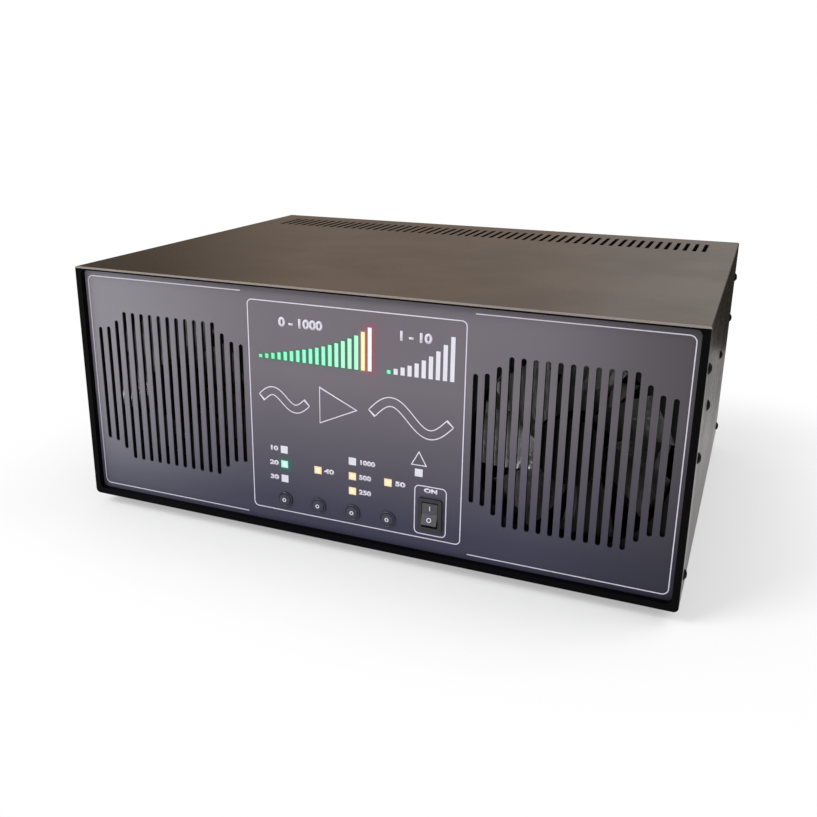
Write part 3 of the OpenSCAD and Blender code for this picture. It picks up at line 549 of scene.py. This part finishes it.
def dress_nodes():
    """Gives every solid of the frame the material of its slot."""
    slots = {row["node"]: row["material_slot"] for row in frame["record"]["subparts"]}
    for name, obj in frame["nodes"].items():
        obj.data.materials.clear()
        obj.data.materials.append(LIT[name] if name in LIT else MATERIALS[slots[name]])
    frame["nodes"]["power_rocker"].data.materials[0] = rocker_plastic()
    for name in ("button_rings", "button_1", "button_2", "button_3", "button_4"):
        frame["nodes"][name].data.materials[0] = BUTTON_PLASTIC


# Modelling helpers ---------------------------------------------------------------------------


def only(obj):
    """Selects one object and nothing else."""
    bpy.ops.object.select_all(action="DESELECT")
    obj.select_set(True)
    bpy.context.view_layer.objects.active = obj


def settle(obj):
    """Puts the object's place, turn and size into its mesh."""
    only(obj)
    bpy.ops.object.transform_apply(location=True, rotation=True, scale=True)


def open_mesh(obj):
    """Edit mode on one object, with its whole mesh selected."""
    only(obj)
    bpy.ops.object.mode_set(mode="EDIT")
    bpy.ops.mesh.select_all(action="SELECT")


def close_mesh():
    bpy.ops.object.mode_set(mode="OBJECT")


def join(parts, name):
    bpy.ops.object.select_all(action="DESELECT")
    for part in parts:
        part.select_set(True)
    bpy.context.view_layer.objects.active = parts[0]
    if len(parts) > 1:
        bpy.ops.object.join()
    joined = bpy.context.object
    joined.name = name
    joined.data.name = name
    return joined


def hand_over(obj, body, material):
    """The last step of every piece: its finish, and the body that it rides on."""
    obj.data.materials.clear()
    obj.data.materials.append(material)
    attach(obj, body)


INK_T = 0.05 * MM       # thickness of the printed ink
LINE = 0.6              # width of the printed lines, millimetres
UPRIGHT = (math.pi / 2, 0, 0)       # turns a flat piece to face the front
REARWARD = (-math.pi / 2, 0, 0)     # turns a flat piece to face the rear


def thicken(obj, step=(0, -INK_T, 0)):
    """Gives flat ink its thickness, which for the overlay's ink is towards the front."""
    open_mesh(obj)
    bpy.ops.mesh.extrude_region_move(TRANSFORM_OT_translate={"value": step})
    bpy.ops.mesh.select_all(action="SELECT")
    bpy.ops.mesh.normals_make_consistent(inside=False)
    close_mesh()
    return obj


def flat_ring(radius, wall, vertices, location=(0, 0, 0), rotation=(0, 0, 0)):
    """A flat ring: a disc whose middle is inset and taken out. Its sizes are in millimetres."""
    bpy.ops.object.select_all(action="DESELECT")
    bpy.ops.mesh.primitive_circle_add(
        vertices=vertices, radius=radius * MM, fill_type="NGON",
        location=location, rotation=rotation,
    )
    obj = bpy.context.object
    settle(obj)
    open_mesh(obj)
    bpy.ops.mesh.inset(thickness=wall * MM, depth=0)
    bpy.ops.mesh.delete(type="FACE")
    close_mesh()
    return obj


def printed_frame(left, right, low, high, radius, keep=None):
    """A printed line round a rectangle with round corners. Only the range of X in keep prints."""
    middle = at((left + right) / 2, 0, (low + high) / 2)
    bpy.ops.object.select_all(action="DESELECT")
    bpy.ops.mesh.primitive_plane_add(
        size=1, location=(middle.x, PANEL, middle.z), rotation=UPRIGHT,
    )
    obj = bpy.context.object
    obj.scale = ((right - left) * MM, (high - low) * MM, 1)
    settle(obj)
    open_mesh(obj)
    bpy.ops.mesh.bevel(offset=radius * MM, affect="VERTICES", segments=8)
    bpy.ops.mesh.select_all(action="SELECT")
    bpy.ops.mesh.inset(thickness=LINE * MM, depth=0)
    bpy.ops.mesh.delete(type="FACE")
    if keep:
        for edge, side in ((keep[0], 1), (keep[1], -1)):
            bpy.ops.mesh.select_all(action="SELECT")
            bpy.ops.mesh.bisect(
                plane_co=(edge * MM, 0, 0), plane_no=(side, 0, 0), clear_inner=True,
            )
    close_mesh()
    return thicken(obj)


SHARPEST = 0.45         # cosine of half a corner's turn, past which its mitre grows no longer


def printed_stroke(path):
    """A printed line along a closed path of (x, z) in millimetres. It ends where it starts."""
    count = len(path)
    bpy.ops.object.select_all(action="DESELECT")
    bpy.ops.mesh.primitive_grid_add(x_subdivisions=count - 1, y_subdivisions=1, size=1)
    obj = bpy.context.object
    vertices = sorted(obj.data.vertices, key=lambda v: (v.co.y, v.co.x))
    for row, side in ((vertices[:count], -1), (vertices[count:], 1)):
        for index, vertex in enumerate(row):
            before = path[index - 1] if index else path[-2]
            after = path[index + 1] if index < count - 1 else path[1]
            along = Vector((after[0] - before[0], after[1] - before[1])).normalized()
            into = Vector((path[index][0] - before[0], path[index][1] - before[1]))
            turn = abs(into.normalized().dot(along))
            reach = side * LINE / 2 / max(turn, SHARPEST)
            x = path[index][0] - along.y * reach
            z = path[index][1] + along.x * reach
            spot = at(x, 0, z)
            vertex.co = (spot.x, PANEL, spot.z)
    open_mesh(obj)
    bpy.ops.mesh.remove_doubles(threshold=0.02 * MM)
    close_mesh()
    return thicken(obj)


CAPITALS = 0.70         # height of a capital as a share of the font's size
SCALE_SIZE = (5.4, 0.34)        # height and boldness of the bars' numbers, millimetres
LABEL_SIZE = (2.9, 0.22)        # the same for the lamps' numbers


def printed_text(text, x, z, height, bold, align="LEFT", wide=1.3):
    """Plain wide characters: text becomes a mesh, stands upright and gets the ink's thickness."""
    bpy.ops.object.select_all(action="DESELECT")
    bpy.ops.object.text_add()
    obj = bpy.context.object
    obj.data.body = text
    obj.data.size = height * MM / CAPITALS
    obj.data.offset = bold * MM
    obj.data.align_x = align
    obj.data.align_y = "CENTER"
    only(obj)
    bpy.ops.object.convert(target="MESH")
    obj = bpy.context.object
    spot = at(x, 0, z)
    obj.location = (spot.x, PANEL, spot.z)
    obj.rotation_euler = UPRIGHT
    obj.scale = (wide, 1, 1)
    settle(obj)
    return thicken(obj)


# Printing on the overlay ---------------------------------------------------------------------

FRAME_X = 71.5              # the middle frame's half width
FRAME_Z = (12.5, 152.2)
BRACKET_X = 193.6           # the side brackets' outer lines
BRACKET_Z = (7.3, 157.0)
BRACKET_END = 76.0          # where they stop, beside the middle frame
SWITCH_BOX = (41.4, 62.2, 15.2, 47.7)       # left, right, low, high
LAMP_STEP = 24.0            # between columns of lamps
ROW_STEP = 10.0             # between rows of lamps
LOW_LAMP = 35.5             # height of the lowest row
SYMBOL_Z = 89.3             # height of the waves' middle
TRIANGLE = (-22, 3, 11.6)   # back, tip and half height of the middle symbol
WARNING = (44, 4.7, 60.4, 69.0)     # middle, half width, foot and top of the warning triangle
INK = surface(
    "ink_white", shade(206, 201, 216), shade(214, 209, 222), 0.5, (2600.0, 0.000004), 0.0,
)


def wave(left, right, middle, height, turns, points):
    """Points along a sine wave."""
    steps = [index / (points - 1) for index in range(points)]
    return [
        (left + (right - left) * step, middle + height * math.sin(2 * math.pi * turns * step))
        for step in steps
    ]


def band_round(path, width):
    """The closed outline of a band of even width along a path."""
    upper, lower = [], []
    for index, (x, z) in enumerate(path):
        before = path[max(index - 1, 0)]
        after = path[min(index + 1, len(path) - 1)]
        along = Vector((after[0] - before[0], after[1] - before[1])).normalized()
        upper.append((x - along.y * width / 2, z + along.x * width / 2))
        lower.append((x + along.y * width / 2, z - along.x * width / 2))
    outline = upper + lower[::-1]
    return outline + [outline[0]]


def print_lines():
    """The middle frame, the brackets beside it and the switch's frame."""
    parts = [
        printed_frame(-FRAME_X, FRAME_X, *FRAME_Z, 3.4),
        printed_frame(-BRACKET_X, 0, *BRACKET_Z, 4, keep=(-200, -BRACKET_END)),
        printed_frame(0, BRACKET_X, *BRACKET_Z, 4, keep=(BRACKET_END, 200)),
        printed_frame(*SWITCH_BOX, 3.2),
    ]
    return join(parts, "printed_lines")


def print_symbols():
    """Outlined drawing of a wave made larger, and the warning lamp's triangle."""
    back, tip, half = TRIANGLE
    foot = (back, SYMBOL_Z - half)
    middle, reach, low, top = WARNING
    corner = (middle - reach, low)
    parts = [
        printed_stroke(band_round(wave(-63, -31, SYMBOL_Z, 5.0, 1, 41), 5.2)),
        printed_stroke([foot, (back, SYMBOL_Z + half), (tip, SYMBOL_Z), foot]),
        printed_stroke(band_round(wave(13, 63, SYMBOL_Z, 8.6, 1, 61), 5.6)),
        printed_stroke([corner, (middle + reach, low), (middle, top), corner]),
    ]
    return join(parts, "printed_symbols")


def print_numbers():
    """Plain numbers over the bars and beside the lamps, and the switch's ON."""
    rows = [LOW_LAMP + ROW_STEP * index for index in range(3)]
    parts = [
        printed_text("0 - 1000", -34.5, 139.3, *SCALE_SIZE, "CENTER", 1.15),
        printed_text("1 - 10", 40, 139, *SCALE_SIZE, "CENTER", 1.15),
        printed_text("ON", 52, 44.6, 2.5, 0.24, "CENTER", 1.5),
        printed_text("40", -LAMP_STEP + 4.6, rows[1], *LABEL_SIZE, wide=1.6),
        printed_text("50", LAMP_STEP + 4.8, rows[1], *LABEL_SIZE, wide=1.6),
    ]
    for text, z in zip(("30", "20", "10"), rows):
        parts.append(printed_text(text, -2 * LAMP_STEP - 4.4, z, *LABEL_SIZE, "RIGHT", 1.5))
    for text, z in zip(("250", "500", "1000"), rows):
        parts.append(printed_text(text, 4.6, z, *LABEL_SIZE))
    return join(parts, "printed_text")


MARK_RING = (1.35, 0.62, 28)        # radius, wall and corners of the ring on each button
MARK_BACK = 0.06                    # how far its back lies behind the button's foremost point


def button_marks():
    """A small printed ring on each button."""
    for index in range(4):
        name = f"button_{index + 1}"
        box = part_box(name)
        middle = (box[0] + box[1]) / 2
        spot = (middle.x, box[0].y + MARK_BACK * MM, middle.z)
        obj = thicken(flat_ring(*MARK_RING, spot, UPRIGHT))
        obj.name = f"button_mark_{index + 1}"
        hand_over(obj, "button_" + "abcd"[index], INK)


ROCKER_TILT = math.radians(9)
PIVOT = 6                   # from the rim to the rocker's pivot, millimetres
VALLEY = 3.4                # from the pivot to where the rocker's two faces meet
MARK = 3.7                  # from there to the middle of each mark


def rocker_marks():
    """I on the pressed half of the rocker and O on the raised half."""
    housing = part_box("switch_housing")
    middle = (housing[0] + housing[1]) / 2
    pivot = Vector((middle.x, FRONT + PIVOT * MM, middle.z))
    reach = Vector((0, -VALLEY * math.cos(ROCKER_TILT), VALLEY * math.sin(ROCKER_TILT)))
    valley = pivot + reach * MM
    parts = []
    for kind, height, lean in (("bar", MARK, 0.0), ("ring", -MARK, -2 * ROCKER_TILT)):
        if kind == "bar":
            bpy.ops.object.select_all(action="DESELECT")
            bpy.ops.mesh.primitive_plane_add(size=1)
            obj = bpy.context.object
            obj.scale = (0.5 * MM, 3.0 * MM, 1)
            settle(obj)
        else:
            obj = flat_ring(1.5, 0.5, 28)
        thicken(obj, (0, 0, INK_T))
        stand = Matrix.Rotation(math.pi / 2, 4, "X")
        move = Matrix.Translation((0, 0, height * MM))
        tilt = Matrix.Rotation(lean, 4, "X")
        obj.matrix_world = Matrix.Translation(valley) @ tilt @ move @ stand
        settle(obj)
        parts.append(obj)
    marks = join(parts, "rocker_marks")
    hand_over(marks, "rocker", INK)


# Turned and threaded details ------------------------------------------------------------------

BARREL = 7.94               # radius of a coaxial socket's barrel, millimetres
STUD = 3.0                  # radius of the ground stud's end
BEAD = 0.4                  # radius of the bead round each button's collar
BEAD_IN = 0.5               # from the collar's edge to the middle of its bead
BEAD_SUNK = 0.1             # how far behind the collar's face that middle lies
TURNS = 9                   # turns of each thread
LEAD = 0.6                  # bare end of a rod before its thread starts
SLEEVE = (1.9, 9.0, 0.35)   # radius, length and wall of a coaxial socket's contact sleeve
SLEEVE_IN = 6.0             # from the socket's end to the sleeve's middle
SLEEVE_SLOT = 11            # width of each of its four slots, degrees


def finish_solid(obj, name):
    """Merges what meets, points the faces outwards and names the piece."""
    open_mesh(obj)
    bpy.ops.mesh.remove_doubles(threshold=0.002 * MM)
    bpy.ops.mesh.normals_make_consistent(inside=False)
    close_mesh()
    obj.name = name
    obj.data.name = name
    return obj


def move_to(obj, x, y, z):
    obj.location = (x, y, z)
    settle(obj)
    return obj


def thread(name, x, z, end, radius, pitch, height):
    """A screw thread round a rod along Y. end is where its last turn stops.

    Its triangular section stands three quarters of height proud of the rod.
    """
    bpy.ops.object.select_all(action="DESELECT")
    bpy.ops.mesh.primitive_circle_add(
        vertices=3, radius=1.0, location=(radius * MM, 0, 0), rotation=(0, 0, -math.pi / 2),
    )
    obj = bpy.context.object
    obj.scale = (0.5 * pitch * MM, 0.75 * height * MM, 1)
    settle(obj)
    turned = obj.modifiers.new("thread", "SCREW")
    turned.axis = "Y"
    turned.steps = turned.render_steps = 40
    turned.screw_offset = pitch * MM
    turned.iterations = TURNS
    bpy.ops.object.modifier_apply(modifier="thread")
    open_mesh(obj)
    bpy.ops.mesh.fill_holes(sides=3)
    close_mesh()
    finish_solid(obj, name)
    rise = max(vertex.co.y for vertex in obj.data.vertices)
    return move_to(obj, x, end - rise, z)


def rear_threads():
    """Threads on the barrels of both coaxial sockets and on the end of the ground stud."""
    for node, radius, pitch, height in (
        ("input_socket", BARREL, 1.06, 0.42),
        ("antenna_socket", BARREL, 1.06, 0.42),
        ("ground_stud", STUD, 1.0, 0.24),
    ):
        low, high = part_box(node)
        middle = (low + high) / 2
        end = high.y - LEAD * MM
        piece = thread(node + "_thread", middle.x, middle.z, end, radius, pitch, height)
        hand_over(piece, "case", MATERIALS["nickel"])


def button_beads():
    """A round bead on the face of each button's collar, spun from a small circle."""
    low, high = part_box("button_rings")
    ring_radius = (high.z - low.z) / 2 - BEAD_IN * MM
    beads = []
    for index in range(4):
        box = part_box(f"button_{index + 1}")
        bpy.ops.object.select_all(action="DESELECT")
        bpy.ops.mesh.primitive_circle_add(
            vertices=10, radius=BEAD * MM, location=(ring_radius, 0, 0),
        )
        obj = bpy.context.object
        settle(obj)
        open_mesh(obj)
        bpy.ops.mesh.spin(steps=44, angle=2 * math.pi, center=(0, 0, 0), axis=(0, 1, 0))
        close_mesh()
        finish_solid(obj, "bead")
        middle = (box[0].x + box[1].x) / 2
        beads.append(move_to(obj, middle, low.y + BEAD_SUNK * MM, (low.z + high.z) / 2))
    piece = join(beads, "button_beads")
    only(piece)
    bpy.ops.object.shade_smooth_by_angle(angle=math.radians(50))
    hand_over(piece, "case", BUTTON_PLASTIC)


def coaxial_contacts():
    """The slotted gold sleeve in the middle of each coaxial socket."""
    radius, long, wall = SLEEVE
    for node in ("input_socket", "antenna_socket"):
        low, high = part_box(node)
        middle = (low + high) / 2
        bpy.ops.object.select_all(action="DESELECT")
        bpy.ops.mesh.primitive_cylinder_add(
            vertices=32, radius=radius * MM, depth=long * MM, end_fill_type="NOTHING",
            location=(middle.x, high.y - SLEEVE_IN * MM, middle.z), rotation=UPRIGHT,
        )
        obj = bpy.context.object
        settle(obj)
        bpy.ops.object.mode_set(mode="EDIT")
        bpy.ops.mesh.select_all(action="DESELECT")
        bpy.ops.object.mode_set(mode="OBJECT")
        for face in obj.data.polygons:
            angle = math.degrees(math.atan2(face.center.z - middle.z, face.center.x - middle.x))
            face.select = (angle + 45) % 90 < SLEEVE_SLOT
        bpy.ops.object.mode_set(mode="EDIT")
        bpy.ops.mesh.select_mode(type="FACE")
        bpy.ops.mesh.delete(type="FACE")
        bpy.ops.object.mode_set(mode="OBJECT")
        solid = obj.modifiers.new("wall", "SOLIDIFY")
        solid.thickness = wall * MM
        bpy.ops.object.modifier_apply(modifier="wall")
        finish_solid(obj, node + "_contact")
        hand_over(obj, "case", MATERIALS["gold_ceramic"])


FACE = (15.4, 6.8, 0.15)    # width, height and thickness of the nine-way socket's face
FACE_FOOT = 0.88            # width of its lower side as a share of its upper side
ROWS = ((5, 1.42), (4, -1.42))      # contacts in each row and the row's height
CONTACT = (0.75, 0.35, 0.1)         # radius, wall and length of a contact
CONTACT_STEP = 2.77


def remote_face():
    """The black face of the nine-way socket, with its gold contacts in two rows."""
    low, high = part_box("remote_socket")
    middle = (low + high) / 2
    face = high.y
    wide, tall, thick = FACE
    radius, wall, long = CONTACT
    bpy.ops.object.select_all(action="DESELECT")
    bpy.ops.mesh.primitive_plane_add(
        size=1, location=(middle.x, face, middle.z), rotation=REARWARD,
    )
    block = bpy.context.object
    block.scale = (wide * MM, tall * MM, 1)
    settle(block)
    for vertex in block.data.vertices:
        if vertex.co.z < middle.z:
            vertex.co.x = middle.x + (vertex.co.x - middle.x) * FACE_FOOT
    open_mesh(block)
    bpy.ops.mesh.bevel(offset=0.8 * MM, affect="VERTICES", segments=4)
    bpy.ops.mesh.select_all(action="SELECT")
    bpy.ops.mesh.extrude_region_move(TRANSFORM_OT_translate={"value": (0, thick * MM, 0)})
    close_mesh()
    finish_solid(block, "remote_face")
    hand_over(block, "case", MATERIALS["black_plastic"])
    rings = []
    for count, up in ROWS:
        for index in range(count):
            x = middle.x + (index - (count - 1) / 2) * CONTACT_STEP * MM
            spot = (x, face + thick * MM, middle.z + up * MM)
            obj = flat_ring(radius, wall, 16, spot, REARWARD)
            open_mesh(obj)
            bpy.ops.mesh.extrude_region_move(TRANSFORM_OT_translate={"value": (0, long * MM, 0)})
            close_mesh()
            rings.append(finish_solid(obj, "contact"))
    hand_over(join(rings, "remote_contacts"), "case", MATERIALS["gold_ceramic"])


# Studio --------------------------------------------------------------------------------------

CAMERA_PLACE = (219.2, -468.1, 272.1)       # millimetres, as at() takes them
CAMERA_RIGHT = (0.92052, 0.39066, 0.00625)
CAMERA_AHEAD = (-0.37046, 0.87778, -0.30374)
CAMERA_LENS = 39.89                         # millimetres, on a sensor 36 wide
CAMERA_SHIFT = (0.0318, -0.0305)


def make_camera():
    """The photograph's view: right of and above the front, turned to the left and down."""
    data = bpy.data.cameras.new("camera")
    camera = bpy.data.objects.new("camera", data)
    bpy.context.scene.collection.objects.link(camera)
    right = Vector(CAMERA_RIGHT)
    ahead = Vector(CAMERA_AHEAD).normalized()
    right = (right - ahead * right.dot(ahead)).normalized()
    up = right.cross(ahead)
    turn = Matrix((right, up, -ahead)).transposed().to_4x4()
    camera.matrix_world = Matrix.Translation(at(*CAMERA_PLACE)) @ turn
    data.sensor_width = 36
    data.lens = CAMERA_LENS
    data.shift_x, data.shift_y = CAMERA_SHIFT
    data.clip_start = 0.01
    data.clip_end = 50
    bpy.context.scene.camera = camera


TABLE = 3.0                 # width of the table top that everything stands on, in metres
TABLE_BACK = 0.46           # its far edge
SHADOW_REACH = 0.17         # how far round the case its shadow fades into the white background
SHADOW_SHARE = 0.6          # how much of the shadow the camera sees at the case's edge
# How far behind the middle the table grows darker, as the case's side mirrors it.
DIM_REACH = (0.06, 0.36)
TABLE_TONE = (0.86, 0.86, 0.86, 1)
MIRRORED_NEAR = (0.96, 0.95, 0.945, 1)      # the table's tone in reflections, near and far
MIRRORED_FAR = (0.40, 0.385, 0.375, 1)


def light_path(tree):
    """The Light Path node's outputs, and 1 for rays that a surface mirrors or lets through."""
    path = tree.nodes.new("ShaderNodeLightPath").outputs
    return path, calc(tree, "MAXIMUM", path["Is Glossy Ray"], path["Is Transmission Ray"])


def make_floor():
    """A pale table top. Far from the object the camera sees it as plain white."""
    bpy.ops.object.select_all(action="DESELECT")
    bpy.ops.mesh.primitive_plane_add(size=TABLE, location=(0, TABLE_BACK - TABLE / 2, 0))
    floor = bpy.context.object
    floor.name = "table_top"
    settle(floor)
    material, tree, shader = new_material("table_white", Roughness=0.9, Specular_IOR_Level=0.1)
    xyz = coordinates(tree)
    gaps = []
    for axis in (0, 1):
        away = calc(tree, "SUBTRACT", calc(tree, "ABSOLUTE", xyz[axis]), cad_bounds[1][axis])
        gaps.append(calc(tree, "MAXIMUM", away, 0.0))
    distance = length(tree, *gaps)
    path, mirrored = light_path(tree)
    dim = calc(tree, "MULTIPLY", ramp(tree, xyz[1], *DIM_REACH), mirrored)
    near = blend_colours(tree, mirrored, TABLE_TONE, MIRRORED_NEAR)
    tone = blend_colours(tree, dim, near, MIRRORED_FAR)
    tree.links.new(tone, shader.inputs["Base Color"])
    white = add(tree, "ShaderNodeEmission", {"Color": (1, 1, 1, 1), "Strength": 1.0})
    fade = ramp(tree, distance, 0.0, SHADOW_REACH, 1 - SHADOW_SHARE, 1.0)
    share = calc(tree, "MULTIPLY", fade, path["Is Camera Ray"])
    blend = add(tree, "ShaderNodeMixShader", {0: share, 1: shader.outputs[0], 2: white.outputs[0]})
    tree.links.new(blend.outputs[0], tree.nodes["Material Output"].inputs["Surface"])
    floor.data.materials.append(material)


# What reflections show. A span says between which values of toward() or of the ray's height
# one tone passes into the next. Tones are linear values.
WINDOW = (-0.37, -0.76, 0.53)
SOFTBOX = (0.62, -0.73, 0.28)
WALL_TURN = -60             # where the wall is dimmest, in degrees to the right of straight back
WINDOW_SPAN = (0.86, 0.95)
SOFTBOX_SPAN = (0.82, 0.94)
DIM_SPAN = (0.45, 0.75)
CORNER_SPAN = (0.83, 0.90)
FOOT_SPAN = (0.05, 0.29)
BACK_SPAN = (-0.3, 0.3)
GROUND_SPAN = (-0.03, 0.0)
WINDOW_TONE = (2.5, 2.5, 2.6, 1)
SOFTBOX_TONE = (2.4, 2.4, 2.4, 1)
ROOM_TONE = (0.28, 0.28, 0.29, 1)
WALL_RIGHT = (0.89, 0.83, 0.79, 1)
WALL_LEFT = (0.59, 0.44, 0.345, 1)
WALL_CORNER = (0.06, 0.045, 0.03, 1)
WALL_FOOT = (0.20, 0.16, 0.13, 1)
GROUND_TONE = (0.02, 0.016, 0.012, 1)
AIR_TONE = (0.62, 0.62, 0.63, 1)        # what lights dull surfaces from all round


def level(azimuth):
    """A level direction, in degrees to the right of straight back."""
    angle = math.radians(azimuth)
    return (math.sin(angle), math.cos(angle), 0.0)


def toward(tree, ray, direction):
    """How nearly a ray runs in a direction: 1 is straight along it."""
    node = add(tree, "ShaderNodeVectorMath", {0: ray, 1: direction}, operation="DOT_PRODUCT")
    return node.outputs["Value"]


def make_world():
    """White to the camera. Reflections show a warm wall behind and a dim room with a window."""
    world = bpy.data.worlds.new("studio")
    bpy.context.scene.world = world
    world.use_nodes = True
    tree = world.node_tree
    background = tree.nodes["Background"]
    path, mirrored = light_path(tree)
    ray = place(tree, "Generated")
    height = add(tree, "ShaderNodeSeparateXYZ", {0: ray}).outputs[2]
    to_left = toward(tree, ray, level(WALL_TURN))
    to_back = toward(tree, ray, level(0))
    wall = blend_colours(tree, ramp(tree, to_left, *DIM_SPAN), WALL_RIGHT, WALL_LEFT)
    wall = blend_colours(tree, ramp(tree, to_left, *CORNER_SPAN), wall, WALL_CORNER)
    wall = blend_colours(tree, ramp(tree, height, *FOOT_SPAN), WALL_FOOT, wall)
    window = ramp(tree, toward(tree, ray, WINDOW), *WINDOW_SPAN)
    front = blend_colours(tree, window, ROOM_TONE, WINDOW_TONE)
    softbox = ramp(tree, toward(tree, ray, SOFTBOX), *SOFTBOX_SPAN)
    front = blend_colours(tree, softbox, front, SOFTBOX_TONE)
    room = blend_colours(tree, ramp(tree, to_back, *BACK_SPAN), front, wall)
    room = blend_colours(tree, ramp(tree, height, *GROUND_SPAN), GROUND_TONE, room)
    tone = blend_colours(tree, mirrored, AIR_TONE, room)
    tone = blend_colours(tree, path["Is Camera Ray"], tone, (1, 1, 1, 1))
    tree.links.new(tone, background.inputs["Color"])
    background.inputs["Strength"].default_value = 1.0


LAMP_TARGET = (0, 0, 0.1)


def make_lamp(name, spot, size, power):
    """A square lamp that faces the case. size is in metres and power in watts."""
    data = bpy.data.lights.new(name, "AREA")
    data.size = size
    data.energy = power
    lamp = bpy.data.objects.new(name, data)
    bpy.context.scene.collection.objects.link(lamp)
    lamp.location = spot
    aim = Vector(LAMP_TARGET) - Vector(spot)
    lamp.rotation_euler = aim.to_track_quat("-Z", "Y").to_euler()


def make_studio():
    make_camera()
    make_floor()
    make_world()
    make_lamp("key", (-1.0, -1.2, 1.3), 0.9, 26)
    make_lamp("fill", (1.2, 0.5, 1.6), 1.0, 12)
    bpy.context.scene.view_settings.view_transform = "Standard"


make_studio()
dress_nodes()
hand_over(print_lines(), "case", INK)
hand_over(print_symbols(), "case", INK)
hand_over(print_numbers(), "case", INK)
button_marks()
rocker_marks()
button_beads()
rear_threads()
coaxial_contacts()
remote_face()
